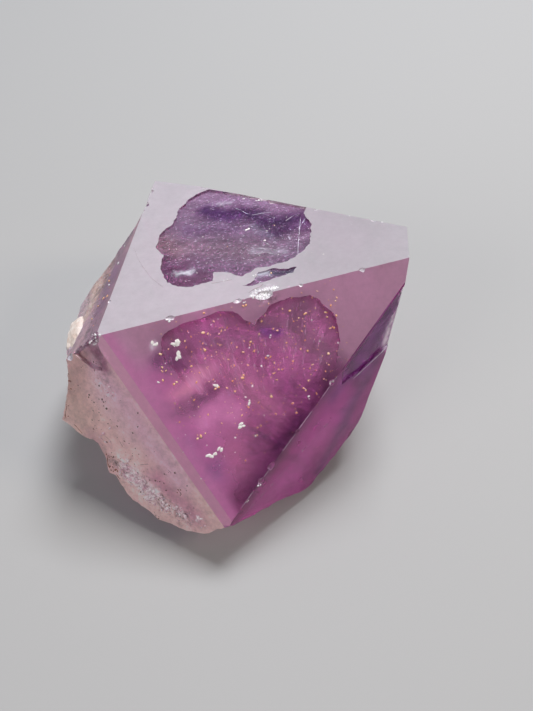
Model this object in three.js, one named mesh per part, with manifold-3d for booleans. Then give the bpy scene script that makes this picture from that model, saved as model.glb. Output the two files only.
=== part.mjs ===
// Amethyst point: one thick quartz crystal broken off its root, lying on the break.
// Units are millimetres, +Z is up, +X is the way the tip leans, and the ground is z = 0.
// The six tip faces and the six side faces stand at quartz's own angles round the long axis.

import * as THREE from 'three';
import { mergeVertices } from 'three/addons/utils/BufferGeometryUtils.js';
import Module from 'manifold-3d';

// ---- how the crystal lies ----
const TIP_FACE_TILT = 51.79; // degrees between a tip face's normal and the long axis
const AXIS_LEAN = 45.3; // degrees the long axis leans from upright towards +X
const AXIS_HEADING = -3.9; // degrees the lean turns round Z
const AXIS_ROLL = -2.4; // degrees the crystal is rolled round its long axis
const IDEAL_APEX = new THREE.Vector3(32.15, -2.45, 36.3); // where three of the tip faces would meet

// ---- how far each face lies: tip faces from the ideal apex, side faces from the long axis ----
const HALF_WIDTH = 32.1;
const BACK_HALF_WIDTH = 37.4;
const FACES = {
  top: { azimuth: 180, tip: true, distance: 0 },
  front: { azimuth: 240, tip: true, distance: 0 },
  frontRight: { azimuth: 300, tip: true, distance: 0 },
  right: { azimuth: 0, tip: true, distance: -2.8 },
  backRight: { azimuth: 60, tip: true, distance: 5.2 },
  back: { azimuth: 116.2, tip: true, distance: 4.3 },
  topSide: { azimuth: 180, tip: false, distance: HALF_WIDTH },
  frontSide: { azimuth: 240, tip: false, distance: HALF_WIDTH },
  frontRightSide: { azimuth: 300, tip: false, distance: HALF_WIDTH },
  backRightSide: { azimuth: 60, tip: false, distance: BACK_HALF_WIDTH },
  backSide: { azimuth: 120, tip: false, distance: BACK_HALF_WIDTH },
};

// ---- the break it rests on ----
const REST_CENTRE = new THREE.Vector2(0, -2);
const REST_SHARE = 0.45; // share of the way to the rim where the break leaves the ground
const RIM_RISE = 1.3; // power of the rise from there to the rim
const CALM_FROM = 0.8; // share of the way to the rim beyond which the break gets calmer
const RIM_CALM = 0.6; // how much calmer it is at the rim
const PATCH_DIP = 2.2; // how far the middle of the break would reach under the ground
const PATCH_EDGE = [0.7, 1.25]; // where that dip runs out, as shares of REST_SHARE
const PATCH_CALM = 1.4; // how fast the break gets rough away from its middle
const UNDERSIDE_SLAB = { width: 86, depth: 96, thickness: 30 };
const BREAK_CELL = 1.5; // grid of the broken faces
const BREAK_ROUGHNESS = 2.0;

// ---- what a broken surface is made of: size in mm and weight of each part ----
const SWELL = { size: 11, weight: 0.55 };
const LUMPS = { size: 4.2, weight: 0.33 };
const GRAIN = { size: 1.9, weight: 0.16 };
const LEDGE_HEIGHT = 1.6; // height that swells and lumps run over
const LEDGE_STEP = 0.8; // height from one flat to the next
const LEDGE_SHARPNESS = 4; // power that flattens the way up to a ledge
const LEDGE_SHARE = 0.55; // how much of the swells and lumps is stepped

// Rim of the break seen from above, anticlockwise from its left end: x, y and height of the rim.
const BREAK_RIM = [
  [-29.7, -19.8, 13.3],
  [-26.0, -22.3, 11.9],
  [-23.4, -23.5, 12.3],
  [-21.9, -25.2, 10.2],
  [-21.7, -26.8, 7.1],
  [-20.4, -27.4, 7.5],
  [-18.1, -30.1, 4.3],
  [-14.5, -32.2, 3.7],
  [-12.6, -33.6, 2.9],
  [-7.6, -35.9, 3.7],
  [-4.1, -37.0, 5.3],
  [-2.6, -37.3, 7.4],
  [1.1, -36.4, 7.8],
  [6.6, -32.0, 5.9],
  [10.3, -29.2, 4.3],
  [12.8, -27.3, 3.0],
  [15.0, -25.4, 3.2],
  [18.7, -21.6, 5.5],
  [22.6, -17.3, 8.8],
  [27.7, -7.0, 10.0],
  [28.7, 4.0, 8.0],
  [27.2, 15.0, 7.0],
  [20.0, 27.0, 9.0],
  [12.0, 33.0, 11.0],
  [2.0, 36.5, 9.0],
  [-8.0, 36.0, 8.0],
  [-16.8, 28.0, 10.0],
  [-18.2, 16.0, 12.0],
  [-23.0, 9.0, 13.0],
  [-28.0, 3.0, 14.0],
  [-28.5, -8.0, 14.5],
];

// Outline, seen from above, of what the break left standing. Where it runs wide it cuts nothing.
const WALL_OUTLINE = [
  [-29.9, -20.0],
  [-28.3, -18.4],
  [-27.2, -17.2],
  [-27.1, -14.0],
  [-28.4, -5.0],
  [-29.6, 1.5],
  [-27.6, 4.0],
  [-23.8, 9.0],
  [-21.2, 11.6],
  [-17.85, 16.0],
  [-16.75, 27.4],
  [-14.5, 33.0],
  [-7.0, 36.6],
  [4.0, 37.3],
  [14.0, 36.2],
  [30.0, 35.0],
  [42.0, 17.0],
  [42.0, -15.0],
  [26.0, -43.0],
  [-1.0, -47.0],
  [-30.0, -39.0],
  [-36.0, -26.0],
];
const WALL_CENTRE = new THREE.Vector2(-1, -2);
const WALL_STEPS = 132;
const WALL_LEVELS = 30;
const WALL_HEIGHT = 42;
const WALL_SINK = 2; // how far the standing part's foot is under the ground before it is cut
const WALL_ROUGHNESS = 2.0;
const BREAK_MEETS = ['top', 'topSide', 'frontSide', 'back']; // faces whose edges the break keeps clean
const EDGE_ROUGHNESS = 0.12; // share of the roughness that is left at those faces' edges
const EDGE_CALM = [0.5, 5]; // depths under those faces between which the roughness comes in

// ---- shallow hollows where the growth face lies just under the ground face ----
const WINDOW_DEPTH = 0.4;
const HOLLOW_CELL = 1.4; // grid of a hollow's floor
const HOLLOW_REACH = 4; // thickness of the cut that makes a hollow
const HOLLOW_ABOVE = 1; // how far that cut stands over the face
const HOLLOW_MARGIN = 2; // how much larger than the outline its floor is
const HOLLOW_END = 0.15; // how far over the face the floor lies where the hollow has run out
const LONG_RIBS = { along: 6, down: 1.9, weight: 1 }; // growth ribs: size each way in mm, and weight
const SHORT_RIBS = { along: 3, down: 3.1, weight: 0.5 };
const BROKEN_FLOOR = 1.4; // how much finer a broken floor is than the break
const WINDOW_RELIEF = 0.12;
const FRONT_FADE = [9, 18]; // distances down the front face over which its window runs out
const TOP_WINDOW = [
  [24.5, 33.4], [28.0, 30.7], [32.0, 27.5], [34.9, 24.9], [40.4, 20.1], [39.4, 18.4], [39.7, 15.1],
  [37.7, 9.4], [34.5, 6.9], [30.1, 6.2], [28.1, 6.8], [24.6, 5.6], [23.3, 7.3], [20.6, 8.5],
  [20.0, 6.3], [17.8, 6.0], [15.4, 6.2], [13.4, 7.8], [12.3, 10.2], [12.0, 12.7], [12.9, 16.2],
  [12.2, 19.3], [13.2, 22.6], [15.8, 24.8], [18.0, 29.0], [19.7, 31.4], [21.6, 32.8],
];
const FRONT_WINDOW = [
  [9.0, 5.1], [9.7, 3.2], [11.2, 1.9], [13.7, 1.4], [16.6, 1.3], [19.6, 0.9], [21.8, 1.4], [23.2, 3.0],
  [24.6, 4.2], [26.2, 3.2], [28.3, 1.8], [31.3, 1.6], [34.6, 2.1], [36.0, 3.6], [37.4, 5.5],
  [38.0, 7.8], [37.4, 10.6], [36.2, 13.6], [31.0, 18.5], [22.0, 18.5], [12.5, 12.0],
];
const RIGHT_WINDOW = [
  [0.6, 0.3], [6.0, 0.6], [12.5, 0.7], [18.0, 0.9], [19.6, 2.6], [16.1, 4.7], [12.5, 6.0], [8.4, 7.9],
  [6.0, 9.0], [-2.0, 3.0],
];

// A sliver split off the ground top face between its window and the front ridge.
const TOP_SLIVER = [
  [24.4, 3.1], [27.0, 3.9], [27.7, 5.5], [29.8, 5.6], [31.6, 4.9], [34.2, 4.4], [33.4, 3.5], [31.1, 3.3],
  [27.9, 2.9],
];
const SLIVER_WEAR = { depth: 0.3, relief: 0.1 };

// Outside this line the top side face broke away a little deeper.
const SIDE_STEP = [[33.5, -0.2], [2.3, 8.4], [-4.0, 10.1], [-4.0, 30.0], [40.0, 30.0]];
const SIDE_STEP_WEAR = { depth: 0.6, relief: 0.5, broken: true };
// A flake is missing from the front side face, just under the ridge's low end.
const FLAKE = [[0.5, 0.5], [0.0, 3.4], [0.0, 6.4], [2.6, 5.6], [5.0, 3.2], [3.2, 1.2]];
const FLAKE_WEAR = { depth: 0.7, relief: 0.3, broken: true };

// ---- small damage ----
// Chips on the ridges: along the ridge from its low end, chip length and depth.
const TOP_RIDGE_CHIPS = [
  [27.4, 3.4, 0.75], [23.0, 1.6, 0.35], [12.0, 1.8, 0.4], [43.9, 1.2, 0.35], [33.5, 0.9, 0.25],
];
const FRONT_RIDGE_CHIPS = [
  [20.2, 1.5, 0.45], [37.0, 2.0, 0.5], [40.0, 1.6, 0.4], [30.0, 0.8, 0.25],
];
const BACK_RIDGE_CHIPS = [
  [6.0, 1.6, 0.4], [17.0, 1.1, 0.3], [28.0, 2.2, 0.5], [41.0, 1.4, 0.35],
];
const LEFT_EDGE_CHIPS = [
  [35.3, 1.8, 0.5], [39.8, 1.5, 0.45], [8.0, 0.9, 0.25],
];
const SIDE_EDGE_CHIPS = [
  [0.4, 2.4, 0.9], [2.6, 1.6, 0.6], [5.0, 2.6, 0.7], [7.6, 1.8, 0.6],
];
const CHIP_WIDTH = 1.6; // width of a chip, in depths
const CHIP_LIFT = 0.6; // how far over the ridge the middle of a chip lies, in depths
const CHIP_UNEVENNESS = 0.25;
const RIDGE_FLAT = 0.045; // how much the rubbed front ridge is cut back
const SIDE_EDGE_FLAT = 0.3; // how much the worn edge between the front faces is cut back
// Where the right face's foot broke away: a point on that break and the way it faces.
const FOOT_BREAK_POINT = new THREE.Vector3(27.2, -10.0, 22.9);
const FOOT_BREAK_NORMAL = new THREE.Vector3(0.95, -0.15, -0.232);
// The back corner of the top face broke off on a slant: a point on that break and the way it faces.
const CORNER_BREAK_POINT = new THREE.Vector3(-10.3, 25.0, 30.2);
const CORNER_BREAK_NORMAL = new THREE.Vector3(0.213, 0.749, 0.628);
// Growth steps on the hidden faces: face, where along and down it, half sizes, turn and depth.
const GROWTH_STEPS = [
  ['back', 16, 14, 13, 8, 12, 0.45],
  ['back', 34, 26, 12, 6, -20, 0.35],
  ['backRight', 9, 16, 7, 9, 18, 0.4],
  ['right', 14, 10, 8, 4, -8, 0.3],
];
const STEP_CORNERS = 14;
const STEP_UNEVENNESS = 0.22;
const STEP_REACH = 2; // thickness of the cut that makes a growth step

// ---- milky root left on the broken end: centre and radius of each knob ----
const ROOT_KNOBS = [
  [-27.9, -3.8, 21.2, 2.7],
  [-26.1, -8.8, 19.8, 3.3],
  [-25.2, -13.0, 17.4, 3.1],
  [-26.4, -5.0, 16.4, 3.5],
  [-26.7, 0.4, 17.4, 3.4],
  [-24.4, 4.2, 16.2, 3.8],
  [-21.2, 8.0, 15.6, 3.6],
  [-23.4, -10.2, 14.8, 3.3],
  [-18.0, 12.0, 15.0, 3.0],
  [-15.9, 17.0, 13.4, 2.9],
];
const KNOB_DETAIL = 3;
const KNOB_LENGTH = 1.35; // how much longer a knob is than it is thick
const KNOB_ROUGHNESS = 0.3;
const KNOB_GRAIN = 1.7; // size of the lumps on a knob

const SURFACE = { color: 0x8f5f9c, roughness: 0.35, metalness: 0 };
const LARGE = 300; // side of the blocks that stand for everything beyond a face
const SAME_POINT = 1e-4; // points closer than this are one

// Large odd factors that turn a grid cell's place into a number that looks random.
const CELL_FACTORS = [374761393, 668265263, 2147483647];
const MIXING_FACTORS = [1274126177, 2246822519];
const CELL_RANGE = 4294967295;

const wasm = await Module();
wasm.setup();

// ---- solids from geometries, and back ----
function toSolid(geometry) {
  const bare = geometry.clone();
  bare.deleteAttribute('normal');
  bare.deleteAttribute('uv');
  const merged = mergeVertices(bare, SAME_POINT);
  return new wasm.Manifold(
    new wasm.Mesh({
      numProp: 3,
      vertProperties: Float32Array.from(merged.attributes.position.array),
      triVerts: Uint32Array.from(merged.index.array),
    }),
  );
}

function toGeometry(solid) {
  const mesh = solid.getMesh();
  const geometry = new THREE.BufferGeometry();
  geometry.setAttribute('position', new THREE.BufferAttribute(Float32Array.from(mesh.vertProperties), 3));
  geometry.setIndex(new THREE.BufferAttribute(Uint32Array.from(mesh.triVerts), 1));
  return geometry;
}

// ---- smooth random heights that are the same on every run ----
function cellValue(x, y, z) {
  const [byX, byY, byZ] = CELL_FACTORS;
  let mixed = Math.imul(x, byX) ^ Math.imul(y, byY) ^ Math.imul(z, byZ);
  mixed = Math.imul(mixed ^ (mixed >>> 13), MIXING_FACTORS[0]);
  mixed = Math.imul(mixed ^ (mixed >>> 16), MIXING_FACTORS[1]);
  return ((mixed ^ (mixed >>> 15)) >>> 0) / CELL_RANGE;
}

// Runs from -1 to 1 and changes over one unit.
function smoothNoise(x, y, z) {
  const [ix, iy, iz] = [Math.floor(x), Math.floor(y), Math.floor(z)];
  const fade = (t) => t * t * (3 - 2 * t);
  const [fx, fy, fz] = [fade(x - ix), fade(y - iy), fade(z - iz)];
  let sum = 0;
  for (const [dx, wx] of [[0, 1 - fx], [1, fx]]) {
    for (const [dy, wy] of [[0, 1 - fy], [1, fy]]) {
      for (const [dz, wz] of [[0, 1 - fz], [1, fz]]) {
        sum += cellValue(ix + dx, iy + dy, iz + dz) * wx * wy * wz;
      }
    }
  }
  return sum * 2 - 1;
}

// A broken surface: long swells, shorter lumps, and flats that end in sharp little ledges.
function brokenRelief(x, y, z) {
  const swell = smoothNoise(x / SWELL.size, y / SWELL.size, z / SWELL.size);
  const lumps = smoothNoise(x / LUMPS.size + 9, y / LUMPS.size, z / LUMPS.size);
  const grain = smoothNoise(x / GRAIN.size, y / GRAIN.size + 5, z / GRAIN.size);
  const height = (SWELL.weight * swell + LUMPS.weight * lumps) * LEDGE_HEIGHT;
  const level = Math.floor(height / LEDGE_STEP);
  const within = height / LEDGE_STEP - level;
  const ledged = (level + within ** LEDGE_SHARPNESS) * LEDGE_STEP;
  return THREE.MathUtils.lerp(height, ledged, LEDGE_SHARE) + GRAIN.weight * grain;
}

// ---- the crystal's flat faces ----
const resting = new THREE.Matrix4()
  .makeRotationZ(THREE.MathUtils.degToRad(AXIS_HEADING))
  .multiply(new THREE.Matrix4().makeRotationY(THREE.MathUtils.degToRad(AXIS_LEAN)))
  .multiply(new THREE.Matrix4().makeRotationZ(THREE.MathUtils.degToRad(AXIS_ROLL)));

function facePlane({ azimuth, tip, distance }) {
  const turn = THREE.MathUtils.degToRad(azimuth);
  const tilt = THREE.MathUtils.degToRad(tip ? TIP_FACE_TILT : 90);
  const normal = new THREE.Vector3(
    Math.sin(tilt) * Math.cos(turn),
    Math.sin(tilt) * Math.sin(turn),
    Math.cos(tilt),
  ).transformDirection(resting);
  const reach = distance + normal.dot(IDEAL_APEX);
  return { normal, reach };
}

const planes = Object.fromEntries(Object.entries(FACES).map(([name, face]) => [name, facePlane(face)]));

// The point that lies on three planes.
function corner(a, b, c) {
  const rows = new THREE.Matrix3().set(
    a.normal.x, a.normal.y, a.normal.z,
    b.normal.x, b.normal.y, b.normal.z,
    c.normal.x, c.normal.y, c.normal.z,
  );
  return new THREE.Vector3(a.reach, b.reach, c.reach).applyMatrix3(rows.invert());
}

const tipCorner = corner(planes.top, planes.front, planes.right);
const ridgeFoot = corner(planes.top, planes.front, planes.topSide);
const rightCorner = corner(planes.front, planes.frontRight, planes.right);
const frontFoot = corner(planes.front, planes.frontRight, planes.frontSide);
const backCorner = corner(planes.top, planes.back, planes.right);
const backFoot = corner(planes.top, planes.back, planes.topSide);
const axis = new THREE.Vector3(0, 0, 1).transformDirection(resting);
const sideFoot = ridgeFoot.clone().addScaledVector(axis, -HALF_WIDTH);

// A frame on a flat face: x runs from one corner to another, z is the outward normal.
function faceFrame(plane, from, towards) {
  const along = towards.clone().sub(from).normalize();
  const frame = new THREE.Matrix4();
  frame.makeBasis(along, plane.normal.clone().cross(along), plane.normal);
  return frame.setPosition(from);
}

function depthUnder(plane, place) {
  return plane.reach - plane.normal.dot(place);
}

// Everything beyond a plane.
function beyond(normal, point) {
  const block = new THREE.BoxGeometry(LARGE, LARGE, LARGE);
  block.translate(0, 0, LARGE / 2);
  const turn = new THREE.Quaternion().setFromUnitVectors(new THREE.Vector3(0, 0, 1), normal);
  block.applyQuaternion(turn);
  block.translate(point.x, point.y, point.z);
  return toSolid(block);
}

// What goes when the edge between two faces is rubbed down to a depth.
function beyondEdge(a, b, point, depth) {
  const outward = a.normal.clone().add(b.normal).normalize();
  return beyond(outward, point.clone().addScaledVector(outward, -depth));
}

function flatFacedCrystal() {
  const block = new THREE.BoxGeometry(LARGE / 2, LARGE / 2, LARGE / 2);
  block.translate(0, 0, LARGE / 4);
  let crystal = toSolid(block);
  for (const { normal, reach } of Object.values(planes)) {
    crystal = crystal.subtract(beyond(normal, normal.clone().multiplyScalar(reach)));
  }
  crystal = crystal.subtract(beyond(FOOT_BREAK_NORMAL.clone().normalize(), FOOT_BREAK_POINT));
  crystal = crystal.subtract(beyond(CORNER_BREAK_NORMAL.clone().normalize(), CORNER_BREAK_POINT));
  crystal = crystal.subtract(beyondEdge(planes.front, planes.frontRight, rightCorner, RIDGE_FLAT));
  return crystal.subtract(beyondEdge(planes.front, planes.frontSide, ridgeFoot, SIDE_EDGE_FLAT));
}

// ---- the break ----
// Reads a value round a centre from outline points, straight between one point and the next.
function aroundOutline(points, centre) {
  const ring = points
    .map(([x, y, height = 0]) => {
      const offset = new THREE.Vector2(x - centre.x, y - centre.y);
      return { angle: offset.angle(), x, y, height };
    })
    .sort((a, b) => a.angle - b.angle);
  return (angle) => {
    const turned = THREE.MathUtils.euclideanModulo(angle, 2 * Math.PI);
    const next = ring.findIndex((entry) => entry.angle > turned);
    const b = ring[next === -1 ? 0 : next];
    const a = ring[(next === -1 ? ring.length : next === 0 ? ring.length : next) - 1];
    const ray = new THREE.Vector2(Math.cos(turned), Math.sin(turned));
    const side = new THREE.Vector2(b.x - a.x, b.y - a.y);
    const start = new THREE.Vector2(a.x - centre.x, a.y - centre.y);
    const radius = start.cross(side) / ray.cross(side);
    const share = Math.abs(side.x) > Math.abs(side.y)
      ? (ray.x * radius - start.x) / side.x
      : (ray.y * radius - start.y) / side.y;
    return { radius, height: THREE.MathUtils.lerp(a.height, b.height, share) };
  };
}

const rimAt = aroundOutline(BREAK_RIM, REST_CENTRE);
const wallAt = aroundOutline(WALL_OUTLINE, WALL_CENTRE);

// Height of the broken underside at a place seen from above. Inside the resting patch it dips
// under the ground, so that the ground plane leaves a flat there.
function undersideHeight(x, y) {
  const offset = new THREE.Vector2(x - REST_CENTRE.x, y - REST_CENTRE.y);
  const rim = rimAt(offset.angle());
  const share = offset.length() / rim.radius;
  const rise = Math.max(0, (share - REST_SHARE) / (1 - REST_SHARE));
  const slope = rim.height * rise ** RIM_RISE;
  const calm = 1 - RIM_CALM * THREE.MathUtils.smoothstep(share, CALM_FROM, 1);
  const relief = brokenRelief(x, y, 3) * BREAK_ROUGHNESS * calm;
  const [dipFrom, dipTo] = PATCH_EDGE.map((edge) => edge * REST_SHARE);
  const patchDip = PATCH_DIP * (1 - THREE.MathUtils.smoothstep(share, dipFrom, dipTo));
  return slope + relief * Math.min(1, share * PATCH_CALM) - patchDip;
}

// Everything under the broken underside.
function underside() {
  const { width, depth, thickness } = UNDERSIDE_SLAB;
  const slab = new THREE.BoxGeometry(
    width, depth, thickness, Math.round(width / BREAK_CELL), Math.round(depth / BREAK_CELL), 1,
  );
  const position = slab.attributes.position;
  for (let i = 0; i < position.count; i += 1) {
    const [x, y, z] = [position.getX(i), position.getY(i), position.getZ(i)];
    position.setZ(i, z > 0 ? undersideHeight(x, y) : -thickness);
  }
  return toSolid(slab);
}

// The upright prism that the break left standing, with its rough outside.
function standingWall() {
  const column = new THREE.CylinderGeometry(1, 1, WALL_HEIGHT, WALL_STEPS, WALL_LEVELS);
  column.rotateX(Math.PI / 2);
  column.translate(0, 0, WALL_HEIGHT / 2 - WALL_SINK);
  const position = column.attributes.position;
  for (let i = 0; i < position.count; i += 1) {
    const offset = new THREE.Vector2(position.getX(i), position.getY(i));
    const z = position.getZ(i);
    const inCapMiddle = offset.length() < 0.5;
    if (!inCapMiddle) {
      const { radius } = wallAt(offset.angle());
      offset.setLength(radius);
      const place = new THREE.Vector3(WALL_CENTRE.x + offset.x, WALL_CENTRE.y + offset.y, z);
      const inside = Math.min(...BREAK_MEETS.map((name) => depthUnder(planes[name], place)));
      const free = THREE.MathUtils.smoothstep(inside, ...EDGE_CALM);
      const freed = THREE.MathUtils.lerp(EDGE_ROUGHNESS, 1, free);
      const relief = brokenRelief(offset.x, offset.y, z) * WALL_ROUGHNESS * freed;
      offset.setLength(radius + relief);
    }
    position.setXY(i, WALL_CENTRE.x + offset.x, WALL_CENTRE.y + offset.y);
  }
  return toSolid(column);
}

function rootKnob([x, y, z, radius]) {
  const knob = new THREE.IcosahedronGeometry(radius, KNOB_DETAIL);
  const position = knob.attributes.position;
  const point = new THREE.Vector3();
  for (let i = 0; i < position.count; i += 1) {
    point.fromBufferAttribute(position, i);
    const [gx, gy, gz] = point.toArray().map((value) => value / KNOB_GRAIN);
    const bump = smoothNoise(gx + x, gy + y, gz + z);
    point.multiplyScalar(1 + KNOB_ROUGHNESS * bump);
    point.y *= KNOB_LENGTH;
    position.setXYZ(i, point.x, point.y, point.z);
  }
  knob.translate(x, y, z);
  return toSolid(knob);
}

// ---- windows, chips and steps ----
// Shallow wear on a flat face, to a depth under an outline. Outline points are along the face
// from one corner towards another, and across it, where up says which way across they run. The
// floor is ribbed by growth lines, or broken, and fade gives the distances down the face over
// which the hollow runs out.
function hollow({ plane, from, towards, up, outline, depth, relief, broken = false, fade }) {
  const shape = new THREE.Shape(outline.map(([along, down]) => new THREE.Vector2(along, up * down)));
  const prism = new THREE.ExtrudeGeometry(shape, { depth: HOLLOW_REACH, bevelEnabled: false });
  prism.translate(0, 0, HOLLOW_ABOVE - HOLLOW_REACH);
  prism.computeBoundingBox();
  const size = prism.boundingBox.getSize(new THREE.Vector3()).addScalar(HOLLOW_MARGIN);
  const middle = prism.boundingBox.getCenter(new THREE.Vector3());
  const [columns, rows] = [Math.round(size.x / HOLLOW_CELL), Math.round(size.y / HOLLOW_CELL)];
  const floor = new THREE.BoxGeometry(size.x, size.y, 2, columns, rows, 1);
  const position = floor.attributes.position;
  for (let i = 0; i < position.count; i += 1) {
    const [u, v] = [position.getX(i) + middle.x, position.getY(i) + middle.y];
    const long = smoothNoise(u / LONG_RIBS.along + plane.reach, v / LONG_RIBS.down, 1);
    const short = smoothNoise(u / SHORT_RIBS.along, v / SHORT_RIBS.down, 7);
    const ribs = LONG_RIBS.weight * long + SHORT_RIBS.weight * short;
    const lumps = brokenRelief(u * BROKEN_FLOOR, v * BROKEN_FLOOR, plane.reach);
    const relieved = relief * (broken ? lumps : ribs);
    const gone = fade ? THREE.MathUtils.smoothstep(Math.abs(v), ...fade) : 0;
    const deep = THREE.MathUtils.lerp(depth + relieved, -HOLLOW_END, gone);
    position.setXYZ(i, u, v, position.getZ(i) > 0 ? HOLLOW_REACH : -deep);
  }
  const frame = faceFrame(plane, from, towards);
  return toSolid(prism.applyMatrix4(frame)).intersect(toSolid(floor.applyMatrix4(frame)));
}

// A nick in the ridge that runs from one corner towards another.
function chip(from, towards, [along, length, depth], outward) {
  const direction = towards.clone().sub(from).normalize();
  const nick = new THREE.IcosahedronGeometry(1, 1);
  const position = nick.attributes.position;
  const point = new THREE.Vector3();
  for (let i = 0; i < position.count; i += 1) {
    point.fromBufferAttribute(position, i);
    const uneven = smoothNoise(point.x * 2 + along, point.y * 2, point.z * 2);
    point.multiplyScalar(1 + CHIP_UNEVENNESS * uneven);
    position.setXYZ(i, point.x, point.y, point.z);
  }
  nick.scale(length / 2, depth * CHIP_WIDTH, depth * CHIP_WIDTH);
  const up = outward.clone().projectOnPlane(direction).normalize();
  const basis = new THREE.Matrix4().makeBasis(direction, up.clone().cross(direction), up);
  nick.applyMatrix4(basis);
  const centre = from.clone().addScaledVector(direction, along).addScaledVector(up, depth * CHIP_LIFT);
  nick.translate(centre.x, centre.y, centre.z);
  return toSolid(nick);
}

// A patch of a hidden face that grew a little less far than the rest of it.
function growthStep([name, along, down, halfLength, halfWidth, turn, depth]) {
  const plane = planes[name];
  const starts = {
    back: [backFoot, backCorner],
    backRight: [backCorner, tipCorner],
    right: [tipCorner, backCorner],
  };
  const [from, towards] = starts[name].map(
    (point) => point.clone().addScaledVector(plane.normal, depthUnder(plane, point)),
  );
  const frame = faceFrame(plane, from, towards);
  const outline = [];
  for (let i = 0; i < STEP_CORNERS; i += 1) {
    const angle = (i / STEP_CORNERS) * 2 * Math.PI;
    const [c, s] = [Math.cos(angle), Math.sin(angle)];
    const wobble = 1 + STEP_UNEVENNESS * smoothNoise(c * 1.5 + along, s * 1.5, depth * 9);
    outline.push(new THREE.Vector2(halfLength * wobble * c, halfWidth * wobble * s));
  }
  const shape = new THREE.Shape(outline);
  const step = new THREE.ExtrudeGeometry(shape, { depth: STEP_REACH, bevelEnabled: false });
  step.rotateZ(THREE.MathUtils.degToRad(turn));
  step.translate(along, -down, -depth);
  step.applyMatrix4(frame);
  return toSolid(step);
}

// Keeps the largest connected piece: crumbs that the cuts leave loose are dropped.
function withoutCrumbs(geometry) {
  const corners = geometry.index.array;
  const owner = Array.from({ length: geometry.attributes.position.count }, (_, i) => i);
  const ownerOf = (vertex) => {
    let found = vertex;
    while (owner[found] !== found) {
      found = owner[found];
    }
    owner[vertex] = found;
    return found;
  };
  for (let i = 0; i < corners.length; i += 3) {
    const first = ownerOf(corners[i]);
    owner[ownerOf(corners[i + 1])] = first;
    owner[ownerOf(corners[i + 2])] = first;
  }
  const sizes = new Map();
  for (const vertex of corners) {
    sizes.set(ownerOf(vertex), (sizes.get(ownerOf(vertex)) ?? 0) + 1);
  }
  const [largest] = [...sizes].reduce((a, b) => (b[1] > a[1] ? b : a));
  geometry.setIndex([...corners].filter((_, i) => ownerOf(corners[i]) === largest));
  return geometry;
}

// ---- all of it ----
function amethystPoint() {
  let point = flatFacedCrystal();
  point = point.intersect(standingWall());
  for (const knob of ROOT_KNOBS) {
    point = point.add(rootKnob(knob));
  }
  point = point.subtract(underside());
  const ribbed = { depth: WINDOW_DEPTH, relief: WINDOW_RELIEF };
  const onTop = { plane: planes.top, from: ridgeFoot, towards: tipCorner, up: 1 };
  const onFront = { plane: planes.front, from: ridgeFoot, towards: tipCorner, up: -1 };
  const onFrontRight = { plane: planes.frontRight, from: rightCorner, towards: frontFoot, up: 1 };
  const onTopSide = { plane: planes.topSide, from: ridgeFoot, towards: backFoot, up: 1 };
  const onFrontSide = { plane: planes.frontSide, from: ridgeFoot, towards: frontFoot, up: -1 };
  const hollows = [
    { ...onTop, outline: TOP_WINDOW, ...ribbed },
    { ...onTop, outline: TOP_SLIVER, ...SLIVER_WEAR },
    { ...onFront, outline: FRONT_WINDOW, fade: FRONT_FADE, ...ribbed },
    { ...onFrontRight, outline: RIGHT_WINDOW, ...ribbed },
    { ...onTopSide, outline: SIDE_STEP, ...SIDE_STEP_WEAR },
    { ...onFrontSide, outline: FLAKE, ...FLAKE_WEAR },
  ];
  const topFront = planes.top.normal.clone().add(planes.front.normal);
  const frontRight = planes.front.normal.clone().add(planes.frontRight.normal);
  const topBack = planes.top.normal.clone().add(planes.back.normal);
  const topLeft = planes.top.normal.clone().add(planes.topSide.normal);
  const sideEdge = planes.topSide.normal.clone().add(planes.frontSide.normal);
  const chips = [
    ...TOP_RIDGE_CHIPS.map((entry) => chip(ridgeFoot, tipCorner, entry, topFront)),
    ...FRONT_RIDGE_CHIPS.map((entry) => chip(rightCorner, frontFoot, entry, frontRight)),
    ...BACK_RIDGE_CHIPS.map((entry) => chip(backCorner, backFoot, entry, topBack)),
    ...LEFT_EDGE_CHIPS.map((entry) => chip(ridgeFoot, backFoot, entry, topLeft)),
    ...SIDE_EDGE_CHIPS.map((entry) => chip(ridgeFoot, sideFoot, entry, sideEdge)),
  ];
  for (const cut of [...hollows.map(hollow), ...chips, ...GROWTH_STEPS.map(growthStep)]) {
    point = point.subtract(cut);
  }
  return point;
}

const geometry = withoutCrumbs(toGeometry(amethystPoint()));
geometry.computeBoundingBox();
const { min, max } = geometry.boundingBox;
geometry.translate(-(min.x + max.x) / 2, -(min.y + max.y) / 2, -min.z);
geometry.computeVertexNormals();

const crystal = new THREE.Mesh(geometry, new THREE.MeshStandardMaterial(SURFACE));
crystal.name = 'amethyst_point';

const group = new THREE.Group();
group.add(crystal);
export default group;
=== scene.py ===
import math
import random
from functools import partial

import bmesh
import bpy
import numpy as np
from mathutils import Matrix, Vector, noise
from mathutils.bvhtree import BVHTree


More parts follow.
